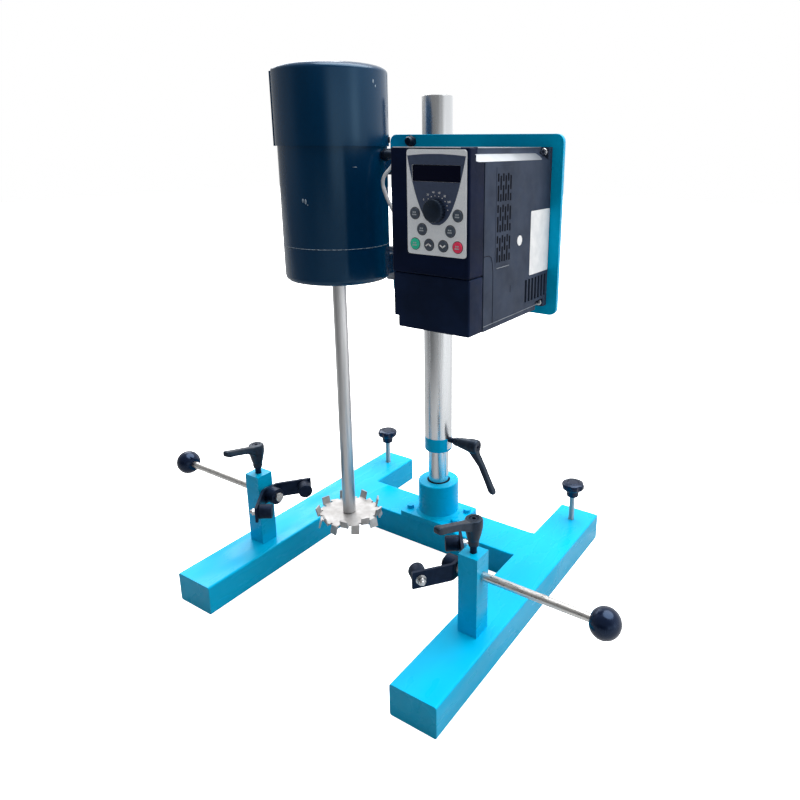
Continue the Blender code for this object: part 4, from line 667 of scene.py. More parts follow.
def spin(degrees, axis="Z"):
    """Matrix that turns a piece round an axis."""
    return Matrix.Rotation(math.radians(degrees), 4, axis)


def settle(piece, matrix):
    """Put a piece in place and leave its object at the origin."""
    focus(piece)
    piece.matrix_world = matrix
    bpy.ops.object.transform_apply(location=True, rotation=True, scale=True)


def turning(direction, place=(0, 0, 0)):
    """Matrix that lays a piece's Z axis along a direction at a place."""
    facing = Vector(direction).to_track_quat("Z", "Y").to_matrix().to_4x4()
    return Matrix.Translation(Vector(place)) @ facing


def on_motor(degrees, height, radius):
    """Matrix that stands a piece on the motor's round side, its Z axis outwards."""
    out = spin(degrees) @ Vector((1, 0, 0))
    return turning(out, Vector((MOTOR.x, MOTOR.y, height)) + out * radius)


def merge(first, *others):
    """Join pieces into the first."""
    deselect()
    for other in (first, *others):
        other.select_set(True)
    bpy.context.view_layer.objects.active = first
    bpy.ops.object.join()
    return first


def wear(piece, finish_name, body, node=None, smooth=True):
    """Give a finished piece its finish, smoothness, body and the CAD nodes it stands for."""
    focus(piece)
    if smooth:
        bpy.ops.object.shade_smooth_by_angle(angle=SMOOTH_ANGLE)
    piece.data.materials.clear()
    piece.data.materials.append(finish(finish_name))
    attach(piece, body)
    if node:
        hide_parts(*([node] if isinstance(node, str) else node))
    return piece


def lathe(name, rings, segments=64, closed=False):
    """Turned piece from rings of radius and height: a circle, extruded and resized ring by ring."""
    radius, height = rings[0]
    piece = begin(
        bpy.ops.mesh.primitive_circle_add,
        name,
        vertices=segments,
        radius=radius,
        fill_type="NOTHING" if closed else "NGON",
    )
    edit(piece)
    bpy.ops.transform.translate(value=(0, 0, height))
    for next_radius, next_height in list(rings[1:]) + ([rings[0]] if closed else []):
        bpy.ops.mesh.extrude_region_move(TRANSFORM_OT_translate={"value": (0, 0, next_height - height)})
        scale = next_radius / radius
        if next_radius != radius:
            bpy.ops.transform.resize(value=(scale, scale, 1), center_override=(0, 0, next_height))
        radius, height = next_radius, next_height
    bpy.ops.mesh.select_all(action="SELECT")
    bpy.ops.mesh.remove_doubles(threshold=0.000005)
    bpy.ops.mesh.normals_make_consistent(inside=False)
    bpy.ops.object.mode_set(mode="OBJECT")
    return piece


def block(name, corner, opposite, edge=0.0, segments=2):
    """Box between two corners with its edges softened."""
    first, second = Vector(corner), Vector(opposite)
    piece = begin(bpy.ops.mesh.primitive_cube_add, name, size=1)
    size = second - first
    settle(piece, Matrix.Translation((first + second) / 2) @ Matrix.Diagonal((*size, 1)))
    if edge:
        soften(piece, edge, segments)
    return piece


def slab(name, finish_name, corner, opposite, edge=0.0, body="head", smooth=False):
    """Plain strip or plate with its finish, riding on a body."""
    return wear(block(name, corner, opposite, edge), finish_name, body, smooth=smooth)


def round_corners(piece, axis, width, segments=5):
    """Bevel the edges of a box that run along one axis, which is given by its number."""
    edit(piece)
    bpy.ops.mesh.select_mode(type="EDGE")
    mesh = bmesh.from_edit_mesh(piece.data)
    for line in mesh.edges:
        run = (line.verts[0].co - line.verts[1].co).normalized()
        line.select_set(abs(run[axis]) > 0.99)
    bmesh.update_edit_mesh(piece.data)
    bpy.ops.mesh.bevel(offset=width, segments=segments, affect="EDGES")
    bpy.ops.object.mode_set(mode="OBJECT")


def fuse(piece, tool, operation="UNION"):
    """Boolean a tool into a piece and delete the tool."""
    modify(piece, "BOOLEAN", operation=operation, solver="EXACT", object=tool)
    bpy.data.objects.remove(tool)


def node_copy(node, name):
    """Merged copy of a CAD node, to be shaped further."""
    source = NODES[node]
    made = bpy.data.objects.new(name, source.data.copy())
    bpy.context.scene.collection.objects.link(made)
    made.data.materials.clear()
    edit(made)
    bpy.ops.mesh.remove_doubles(threshold=0.00001)
    bpy.ops.mesh.dissolve_limited(angle_limit=math.radians(1))
    bpy.ops.object.mode_set(mode="OBJECT")
    return made


def dress(node, finish_name, edge=0.0, segments=2, angle=40):
    """Copy of a CAD node with broken edges and its finish, which stands for the node."""
    body = NODES[node]["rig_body"]
    piece = node_copy(node, node + "_skin")
    if edge:
        soften(piece, edge, segments, angle)
    wear(piece, finish_name, body, node)
    modify(piece, "WEIGHTED_NORMAL", keep_sharp=True)
    return piece


def hex_nut(name, radius, height, bore):
    """Chamfered hexagon nut on its own Z axis, from zero up."""
    nut = begin(bpy.ops.mesh.primitive_cylinder_add, name, vertices=6, radius=radius, depth=height)
    settle(nut, Matrix.Translation((0, 0, height / 2)))
    cone = lathe("chamfer", [
        (radius * 0.84, -0.02 * MM),
        (radius * 1.02, height * 0.22),
        (radius * 1.02, height * 0.78),
        (radius * 0.84, height + 0.02 * MM),
    ], 32)
    fuse(nut, cone, "INTERSECT")
    fuse(nut, lathe("bore", [(bore, -MM), (bore, height + MM)], 24), "DIFFERENCE")
    return nut


def socket_screw(name, radius, height, key):
    """Cap screw head with a hexagon socket on its own Z axis, from zero up."""
    head = lathe(name, [(radius, 0), (radius, height * 0.8), (radius * 0.9, height)], 32)
    hole = begin(bpy.ops.mesh.primitive_cylinder_add, "key", vertices=6, radius=key, depth=height)
    settle(hole, Matrix.Translation((0, 0, height * 0.9)))
    fuse(head, hole, "DIFFERENCE")
    return head


# Pieces of the machine


class DISPERSER_OT_frame(bpy.types.Operator):
    """Paint the rails, the beam, the posts and the socket, and lay the weld round its foot."""

    bl_idname = "disperser.frame"
    bl_label = "Floor Frame"

    def execute(self, context):
        looks = context.scene.disperser_frame
        for node in ("left_rail", "right_rail", "cross_beam", "left_post", "right_post"):
            dress(node, "blue_enamel", looks.edge)
        dress("column_socket", "blue_enamel", 0.5 * MM)
        for side, sign in SIDES.items():
            # The beam is welded to the rail and ground flush, so that paint covers the joint
            near, far = sorted((sign * 142 * MM, sign * 147.5 * MM))
            slab(
                side + "_flush_weld",
                "blue_enamel",
                (near, -31.6 * MM, 38.6 * MM),
                (far, 31.6 * MM, 40.03 * MM),
                body="base",
            )
        ripples, sides = 30, 90
        bead = begin(
            bpy.ops.mesh.primitive_torus_add,
            "socket_weld",
            major_segments=sides,
            minor_segments=12,
            major_radius=31.5 * MM,
            minor_radius=looks.bead,
        )
        edit(bead)
        # Each pass of the rod leaves a ripple
        for step in range(ripples):
            angle = 2 * math.pi * step / ripples
            line = Vector((math.cos(angle), math.sin(angle)))
            pick_verts(bead, lambda co: co.xy.normalized().dot(line) > math.cos(0.04))
            bpy.ops.transform.resize(value=(1, 1, 1.35), center_override=(0, 0, 0))
        bpy.ops.object.mode_set(mode="OBJECT")
        flange_top = middle("column_socket").z - 21.5 * MM
        settle(bead, Matrix.Translation((0, 0, flange_top)))
        modify(bead, "SUBSURF", levels=1, render_levels=1)
        wear(bead, "blue_enamel", "base")
        return {"FINISHED"}


class DISPERSER_OT_column(bpy.types.Operator):
    """Turn the chromed column and tube, and dress the bush, the plate and its clamp."""

    bl_idname = "disperser.column"
    bl_label = "Column"

    def execute(self, context):
        looks = context.scene.disperser_frame
        radius = high("outer_tube").x
        top, bottom = high("outer_tube").z, low("outer_tube").z
        bore = radius - TUBE_WALL
        # The tube's upper end is closed by a sunk plug
        tube = lathe("tube_skin", [
            (bore, bottom),
            (radius - 0.5 * MM, bottom),
            (radius, bottom + 0.5 * MM),
            (radius, top - 1.5 * MM),
            (radius - 0.5 * MM, top - 0.5 * MM),
            (radius - 1.5 * MM, top),
            (radius * 0.5, top),
            (radius * 0.5, top - 4.5 * MM),
            (bore, top - 4.5 * MM),
        ], 96, closed=True)
        plug = lathe("tube_plug", [(radius * 0.52, top - 4 * MM), (radius * 0.52, top - 0.2 * MM)], 48)
        merge(tube, plug)
        wear(tube, "hard_chrome", "head", "outer_tube")
        self.paint_band(radius, bottom)
        self.shade_socket_gap()
        rod_top, rod_bottom = high("inner_column").z, low("inner_column").z
        collar = high("inner_column").x
        column = lathe("column_skin", [
            (COLUMN_RADIUS - TUBE_WALL, rod_bottom),
            (COLUMN_RADIUS, rod_bottom),
            (COLUMN_RADIUS, rod_top - 30 * MM),
            (collar, rod_top - 30 * MM),
            (collar, rod_top - MM),
            (collar - MM, rod_top),
            (COLUMN_RADIUS - TUBE_WALL, rod_top),
        ], 96, closed=True)
        wear(column, "hard_chrome", "base", "inner_column")
        dress("guide_bush", "bearing_bronze", 0.3 * MM)
        dress("mounting_plate", "blue_enamel", looks.edge)
        dress("tube_clamp", "blue_enamel", 0.6 * MM)
        return {"FINISHED"}

    def paint_band(self, radius, bottom):
        """Blue band round the tube's foot, left bare where the lever's boss sits."""
        tall = 20.5 * MM
        proud = radius + 0.08 * MM
        band = lathe("tube_paint_band", [
            (radius - 0.4 * MM, bottom - 0.03 * MM),
            (radius - 0.3 * MM, bottom - 0.03 * MM),
            (proud, bottom + 0.5 * MM),
            (proud, bottom + tall - 0.1 * MM),
            (radius - 0.1 * MM, bottom + tall),
        ], 96, closed=True)
        half = 5.6 * MM
        bare = block("bare", (10 * MM, -half, bottom + 3 * MM), (30 * MM, half, bottom + 30 * MM))
        fuse(band, bare, "DIFFERENCE")
        wear(band, "blue_enamel", "head")

    def shade_socket_gap(self):
        """Painted shade: a dark ring for the shaded gap between the column and the socket's mouth."""
        mouth = high("column_socket").z
        foot, brim = mouth - MM, mouth + 0.05 * MM
        inner = COLUMN_RADIUS + 0.05 * MM
        gap = lathe("socket_gap_shade", [
            (inner, foot), (16.4 * MM, foot), (17.2 * MM, brim), (inner, brim),
        ], 64, closed=True)
        wear(gap, "shade_and_joint_black", "base", smooth=False)


def sculpt_lever(name, hub, reach, rise):
    """Moulded clamping lever on its own Z axis, its hub's foot at the origin and its arm along +X."""
    lever = lathe(name, [
        (6.5 * MM, 0),
        (6.5 * MM, 6 * MM),
        (7.4 * MM, 8 * MM),
        (9 * MM, hub - 18 * MM),
        (10.5 * MM, hub - 11 * MM),
        (10.5 * MM, hub - 2 * MM),
        (9.2 * MM, hub),
    ], 40)
    root = hub - 7 * MM
    # Shares of the reach and of the rise, with the arm's width and depth there in mm
    sections = (
        (0.0, 0.0, 13.0, 13.0),
        (0.16, 0.05, 11.5, 12.0),
        (0.42, 0.42, 9.0, 8.6),
        (0.75, 0.75, 9.4, 8.2),
        (0.94, 0.94, 10.2, 8.6),
        (1.0, 1.0, 8.0, 6.4),
    )
    arm = begin(bpy.ops.mesh.primitive_cube_add, "arm", size=1)
    out, up, width, depth = sections[0]
    settle(arm, Matrix.Translation((-0.5, 0, 0)))
    settle(arm, Matrix.Translation((0, 0, root)) @ Matrix.Diagonal((MM, width * MM, depth * MM, 1)))
    for next_out, next_up, next_width, next_depth in sections[1:]:
        edit(arm)
        far = max(vert.co.x for vert in arm.data.vertices)
        pick_faces(arm, lambda centre, normal: normal.x > 0.5 and centre.x > far - 1e-6)
        step = (reach * (next_out - out), 0, (rise - root) * (next_up - up))
        bpy.ops.mesh.extrude_region_move(TRANSFORM_OT_translate={"value": step})
        bpy.ops.transform.resize(
            value=(1, next_width / width, next_depth / depth),
            center_override=(reach * next_out, 0, root + (rise - root) * next_up),
        )
        bpy.ops.object.mode_set(mode="OBJECT")
        out, up, width, depth = next_out, next_up, next_width, next_depth
    soften(arm, 2.4 * MM, 3)
    fuse(lever, arm)
    modify(lever, "REMESH", mode="VOXEL", voxel_size=0.8 * MM)
    modify(lever, "SMOOTH", factor=0.6, iterations=8)
    recess = lathe("recess", [(5.5 * MM, hub - 4 * MM), (5.5 * MM, hub + 5 * MM)], 32)
    fuse(lever, recess, "DIFFERENCE")
    return lever


class DISPERSER_OT_levers(bpy.types.Operator):
    """Mould the three clamping levers with their studs and socket screws."""

    bl_idname = "disperser.levers"
    bl_label = "Clamping Levers"

    def execute(self, context):
        # Each lever has its foot's place, its turn, and its hub, reach, rise and stud in mm
        column = Vector((30 * MM, 0, 168.5 * MM))
        jobs = [("column_lever", "column_clamp_lever", column, spin(90, "Y"), 38, 66, 64, 13)]
        for side, sign in SIDES.items():
            node = side + "_clamp_lever"
            place = middle(node + "_stud")
            place.z = low(node).z
            jobs.append((node, side + "_lever", place, spin(-90 - 10 * sign), 33, 60, 44, 31))
        for node, body, place, turn, hub, reach, rise, stud in jobs:
            matrix = Matrix.Translation(place) @ turn
            lever = sculpt_lever(node + "_grip", hub * MM, reach * MM, rise * MM)
            settle(lever, matrix)
            wear(lever, "glass_filled_nylon", body, node)
            head = socket_screw(node + "_screw", 5.2 * MM, 3.4 * MM, 2.6 * MM)
            settle(head, matrix @ Matrix.Translation((0, 0, hub * MM - 3.8 * MM)))
            wear(head, "black_powder_coat", body)
            shank = lathe(node + "_shank", [
                (3.4 * MM, -stud * MM),
                (4 * MM, -stud * MM + 0.8 * MM),
                (4 * MM, -2 * MM),
                (5.6 * MM, -1.6 * MM),
                (5.6 * MM, 0.5 * MM),
            ], 32)
            settle(shank, matrix)
            wear(shank, "black_powder_coat", body, node + "_stud")
        return {"FINISHED"}


class DISPERSER_OT_clamps(bpy.types.Operator):
    """Turn the clamp rods and ball knobs, coat the brackets and mount their rubber buffers."""

    bl_idname = "disperser.clamps"
    bl_label = "Vessel Clamps"

    def execute(self, context):
        for side, sign in SIDES.items():
            self.knob(side, sign)
            dress(side + "_clamp_rod", "drawn_rod", 0.3 * MM)
            dress(side + "_v_bracket", "black_powder_coat", 0.6 * MM)
            self.buffer(side, sign, side + "_front_bumper", -1)
            self.buffer(side, sign, side + "_rear_bumper", 1)
        return {"FINISHED"}

    def knob(self, side, sign):
        radius = 17 * MM
        ball = begin(
            bpy.ops.mesh.primitive_uv_sphere_add, side + "_ball", segments=56, ring_count=36, radius=radius
        )
        edit(ball)
        # A flat of 9 mm radius faces the rod
        flat = -math.sqrt(radius ** 2 - (9 * MM) ** 2)
        bpy.ops.mesh.bisect(plane_co=(0, 0, flat), plane_no=(0, 0, 1), clear_inner=True, use_fill=True)
        bpy.ops.object.mode_set(mode="OBJECT")
        soften(ball, 0.5 * MM, 2, 30)
        place = middle(side + "_ball_knob")
        reach = high(side + "_ball_knob").x if sign > 0 else low(side + "_ball_knob").x
        place.x = reach - sign * radius
        outwards = turning((sign, 0, 0), place)
        settle(ball, outwards)
        hole = lathe("rod_hole", [(5.2 * MM, -40 * MM), (5.2 * MM, -3.8 * MM)], 32)
        settle(hole, outwards)
        fuse(ball, hole, "DIFFERENCE")
        wear(ball, "phenolic", side + "_clamp", side + "_ball_knob")

    def buffer(self, side, sign, node, end):
        """Rubber cylinder with a moulded rim, its hexagon nut and the stud's end."""
        place = Vector((sign * 131.57 * MM, CLAMP.y + end * 42.06 * MM, CLAMP.z))
        # The strip's wings are bent so that both rubbers face the vessel
        inward = Vector((-sign * 0.7944, -end * 0.6075, 0))
        outward = turning(-inward, place)
        face = 2.05 * MM
        pad = lathe(node + "_rubber", [
            (7.5 * MM, face),
            (9.2 * MM, face + 0.4 * MM),
            (9.5 * MM, face + 1.2 * MM),
            (9.3 * MM, face + 8 * MM),
            (9.5 * MM, face + 15.6 * MM),
            (9.1 * MM, face + 16.6 * MM),
            (8 * MM, face + 17 * MM),
        ], 48)
        settle(pad, turning(inward, place))
        wear(pad, "moulded_rubber", side + "_bracket", node)
        nut = hex_nut(node + "_nut", 5.0 * MM, 5 * MM, 2.8 * MM)
        settle(nut, turning(-inward, place - inward * face))
        stud = lathe(node + "_stud", [(3 * MM, -0.5 * MM), (3 * MM, 9 * MM), (2.5 * MM, 9.8 * MM)], 24)
        settle(stud, outward)
        washer = lathe(node + "_washer", [(6 * MM, 1.76 * MM), (6 * MM, face)], 32)
        settle(washer, outward)
        merge(nut, stud, washer)
        wear(nut, "zinc_plate", side + "_bracket")


class DISPERSER_OT_jacks(bpy.types.Operator):
    """Mould the star knobs and thread the levelling screws."""

    bl_idname = "disperser.jacks"
    bl_label = "Levelling Screws"

    def execute(self, context):
        for side in SIDES:
            place = middle(side + "_jack_screw")
            place.z = 0
            knob = self.star(side + "_star")
            settle(knob, Matrix.Translation(place))
            wear(knob, "phenolic", side + "_jack", side + "_star_knob")
            screw = lathe(side + "_thread", [
                (2.4 * MM, 6.9 * MM),
                (3.9 * MM, 8.4 * MM),
                (3.9 * MM, 91.2 * MM),
                (3.2 * MM, 92 * MM),
            ], 32)
            settle(screw, Matrix.Translation(place))
            wear(screw, "threaded_zinc", side + "_jack", side + "_jack_screw")
            dress(side + "_jack_pad", "moulded_rubber", 0.3 * MM)
        return {"FINISHED"}

    def star(self, name):
        """Six-lobed knob with a tapered hub, moulded in one."""
        top = high("left_star_knob").z
        foot = low("left_star_knob").z
        lobes, groove_ring, groove_radius = 6, 22.2 * MM, 7.6 * MM
        knob = lathe(name, [
            (9 * MM, top - 10.6 * MM),
            (15.2 * MM, top - 9.8 * MM),
            (16.7 * MM, top - 7.4 * MM),
            (16.7 * MM, top - 3.4 * MM),
            (15.4 * MM, top - 1.3 * MM),
            (11.5 * MM, top - 0.3 * MM),
            (9 * MM, top),
        ], 96)
        for index in range(lobes):
            angle = 2 * math.pi * (index + 0.5) / lobes
            place = (groove_ring * math.cos(angle), groove_ring * math.sin(angle), 0)
            groove = lathe("groove", [(groove_radius, 80 * MM), (groove_radius, 110 * MM)], 40)
            settle(groove, Matrix.Translation(place))
            fuse(knob, groove, "DIFFERENCE")
        hub = lathe("hub", [
            (8.4 * MM, foot),
            (8.9 * MM, foot + MM),
            (9.4 * MM, foot + 8 * MM),
            (11.5 * MM, top - 8 * MM),
        ], 48)
        fuse(knob, hub)
        modify(knob, "REMESH", mode="VOXEL", voxel_size=0.6 * MM)
        modify(knob, "SMOOTH", factor=0.6, iterations=5)
        disc = lathe("disc", [(8.6 * MM, top - 1.2 * MM), (8.6 * MM, top + 5 * MM)], 48)
        fuse(knob, disc, "DIFFERENCE")
        cap = lathe("cap", [
            (8.3 * MM, top - 2 * MM),
            (8.3 * MM, top - 0.5 * MM),
            (7.6 * MM, top),
            (4 * MM, top + 0.1 * MM),
        ], 48)
        fuse(knob, cap)
        hole = lathe("screw_hole", [(4.3 * MM, 70 * MM), (4.3 * MM, 92.3 * MM)], 24)
        fuse(knob, hole, "DIFFERENCE")
        return knob


class DISPERSER_OT_motor(bpy.types.Operator):
    """Enamel the motor, fold its cowl's seam and fit its screws and gland."""

    bl_idname = "disperser.motor"
    bl_label = "Motor"

    def execute(self, context):
        looks = context.scene.disperser_motor
        for node in ("motor_body", "end_bell"):
            dress(node, "navy_enamel", 0.5 * MM, angle=50)
        self.cowl()
        dress("stator_core", "core_laminations")
        dress("upper_bearing", "drawn_stainless", 0.4 * MM)
        dress("lower_bearing", "drawn_stainless", 0.4 * MM)
        dress("motor_gland", "glass_filled_nylon", 0.4 * MM)
        self.seam(looks.seam)
        self.feet()
        self.cowl_screws()
        self.plate_gland()
        self.marks()
        return {"FINISHED"}

    def cowl(self):
        """Deep-drawn cowl with a rounded crown and radial slots over the fan."""
        radius = COWL_RADIUS
        top, bottom = high("fan_cowl").z, low("fan_cowl").z
        # The rounded crown's reach inwards and its rise, and how far the middle is domed over it
        reach, rise, dome = 22 * MM, 8.7 * MM, 0.8 * MM
        shoulder = top - rise - dome
        rings = [
            (0.5 * MM, top - 2 * MM),
            (radius - reach, top - dome - 2 * MM),
            (radius - 8 * MM, shoulder + 4 * MM),
            (radius - 2.4 * MM, shoulder - MM),
            (radius - 1.8 * MM, bottom),
            (radius, bottom),
        ]
        steps = 12
        for step in range(steps + 1):
            angle = math.pi / 2 * step / steps
            rings.append((radius - reach * (1 - math.cos(angle)), shoulder + rise * math.sin(angle)))
        rings += [(20 * MM, top - 0.3 * MM), (0.5 * MM, top)]
        cowl = lathe("cowl_skin", rings, 128)
        slots = []
        for turn in range(0, 360, 36):
            slot = block("slot", (18 * MM, -2 * MM, top - 9 * MM), (50 * MM, 2 * MM, top + 4 * MM))
            round_corners(slot, 2, 1.9 * MM, 4)
            settle(slot, spin(turn))
            slots.append(slot)
        fuse(cowl, merge(*slots), "DIFFERENCE")
        settle(cowl, MOTOR_AXIS)
        wear(cowl, "navy_enamel", "head", "fan_cowl")

    def seam(self, width):
        """Fold of the cowl's sheet on its left, and the dark clip at its lower right."""
        bottom, top = low("fan_cowl").z, high("fan_cowl").z
        fold = block(
            "cowl_fold",
            (COWL_RADIUS - 1.2 * MM, -width / 2, bottom - 0.2 * MM),
            (COWL_RADIUS + 1.7 * MM, width / 2, top - 8.6 * MM),
            0.6 * MM,
        )
        settle(fold, MOTOR_AXIS @ spin(222))
        wear(fold, "navy_enamel", "head")
        clip = block(
            "cowl_clip",
            (COWL_RADIUS - MM, -3 * MM, bottom + 4 * MM),
            (COWL_RADIUS + 1.6 * MM, 3 * MM, bottom + 11 * MM),
            0.6 * MM,
        )
        settle(clip, MOTOR_AXIS @ spin(31))
        wear(clip, "glass_filled_nylon", "head")

    def plate_gland(self):
        """Closed cable gland on the plate, beside the motor's upper pad."""
        nut = hex_nut("plate_gland", 7 * MM, 6 * MM, 1.2 * MM)
        place = turning(FRONT, (-14.3 * MM, PLATE_FACE - 0.05 * MM, 585.2 * MM))
        settle(nut, place)
        dome = lathe("dome", [
            (5.6 * MM, 5.6 * MM),
            (5.6 * MM, 8.5 * MM),
            (4.6 * MM, 10.3 * MM),
            (2.4 * MM, 11 * MM),
        ], 32)
        settle(dome, place)
        merge(nut, dome)
        wear(nut, "glass_filled_nylon", "head")

    def marks(self):
        """Pale marks on the enamel: chips, painted highlights of a small slot, of two tiny screw heads and
        down the cowl's right side, and a pale line at the end bell's joint.
        """
        joint, half = high("end_bell").z, 0.35 * MM
        inner, outer = BODY_RADIUS - 0.4 * MM, BODY_RADIUS + 0.12 * MM
        ring = lathe("bell_joint", [
            (inner, joint - half), (outer, joint - half), (outer, joint + half), (inner, joint + half),
        ], 128, closed=True)
        settle(ring, MOTOR_AXIS)
        wear(ring, "pale_chip_and_highlight", "head")
        # Painted highlight: a pale line down the cowl's right side where its edge catches the light
        highlight_line = block(
            "cowl_highlight_line",
            (COWL_RADIUS - 0.3 * MM, -0.3 * MM, 612 * MM),
            (COWL_RADIUS + 0.2 * MM, 0.3 * MM, 662 * MM),
        )
        settle(highlight_line, MOTOR_AXIS @ spin(29))
        wear(highlight_line, "pale_chip_and_highlight", "head", smooth=False)
        # Angle in degrees, height in mm, radius of the face, and the mark's width and height in mm
        # The first row and the last two are painted highlights of a small slot and of two tiny screw heads;
        # the other three are chips in the enamel
        pale_spots = (
            (-26.4, 556, BODY_RADIUS, 6.0, 1.0),
            (-81.5, 518, BODY_RADIUS, 2.4, 5.5),
            (-78.4, 517, BODY_RADIUS, 2.6, 6.5),
            (-76.2, 513.5, BODY_RADIUS, 1.8, 2.0),
            (-2.5, 650, COWL_RADIUS, 2.0, 4.5),
            (0.5, 645, COWL_RADIUS, 1.8, 3.2),
        )
        for index, (angle, height, radius, across, tall) in enumerate(pale_spots):
            pale_spot = lathe(f"enamel_mark_{index}", [(1.0, 0), (0.9, 0.4 * MM)], 10)
            shape = Matrix.Diagonal((across * MM / 2, tall * MM / 2, 1, 1))
            settle(pale_spot, on_motor(angle, height * MM, radius - 0.25 * MM) @ shape)
            wear(pale_spot, "pale_chip_and_highlight", "head", smooth=False)

    def feet(self):
        """Cast pads between the motor and the plate, seen at the motor's right."""
        left, right, proud = -53.4 * MM, -5.6 * MM, 0.4 * MM
        # The lower and upper ends of each foot are in mm
        for node, bottom, top in (("end_bell", 406, 450), ("motor_body", 544, 576)):
            slab(
                node + "_pad",
                "cast_aluminium",
                (left, FOOT_FACE - proud, bottom * MM - proud),
                (right, PLATE_FACE, top * MM + proud),
                1.2 * MM,
                smooth=True,
            )
            for height in (bottom + 9, top - 9):
                head = hex_nut(node + f"_bolt_{height}", 6.7 * MM, 5.2 * MM, 0.8 * MM)
                settle(head, turning(FRONT, (-16 * MM, FOOT_FACE - 0.2 * MM, height * MM)))
                wear(head, "zinc_plate", "head")

    def cowl_screws(self):
        """Small pan-head screws with a slot, in two rows round the cowl."""
        for index, (angle, height) in enumerate(((-150, 655), (105, 655), (-150, 590), (105, 590))):
            head = lathe(f"cowl_screw_{index}", [
                (1.9 * MM, -0.4 * MM),
                (1.9 * MM, 0.5 * MM),
                (1.4 * MM, MM),
                (0.5 * MM, 1.2 * MM),
            ], 24)
            slot = block("slot", (-1.2 * MM, -0.22 * MM, 0.6 * MM), (1.2 * MM, 0.22 * MM, 2 * MM))
            fuse(head, slot, "DIFFERENCE")
            settle(head, on_motor(angle, height * MM, COWL_RADIUS))
            wear(head, "zinc_plate", "head")


class DISPERSER_OT_shaft(bpy.types.Operator):
    """Turn the long shaft and dress the disc, its nut and the fan."""

    bl_idname = "disperser.shaft"
    bl_label = "Shaft And Disc"

    def execute(self, context):
        top, bottom = high("motor_shaft").z, low("motor_shaft").z
        shoulder = high("disc_nut").z + 2.6 * MM
        # From below: the disc's seat, the long shaft, the rotor's core, and the fan's seat
        shaft = lathe("shaft_skin", [
            (5.4 * MM, bottom),
            (6 * MM, bottom + 0.6 * MM),
            (6 * MM, shoulder),
            (8 * MM, shoulder),
            (9 * MM, shoulder + MM),
            (9 * MM, 440 * MM),
            (11 * MM, 440 * MM),
            (11 * MM, 485 * MM),
            (35.7 * MM, 485 * MM),
            (35.7 * MM, 560 * MM),
            (11 * MM, 560 * MM),
            (11 * MM, 566 * MM),
            (7 * MM, 583 * MM),
            (7 * MM, top - 0.5 * MM),
            (6.5 * MM, top),
        ], 64)
        settle(shaft, MOTOR_AXIS)
        wear(shaft, "drawn_stainless", "rotor", "motor_shaft")
        dress("dispersing_disc", "cut_stainless", 0.25 * MM)
        dress("disc_nut", "zinc_plate", 0.4 * MM)
        dress("cooling_fan", "glass_filled_nylon", 0.4 * MM)
        return {"FINISHED"}


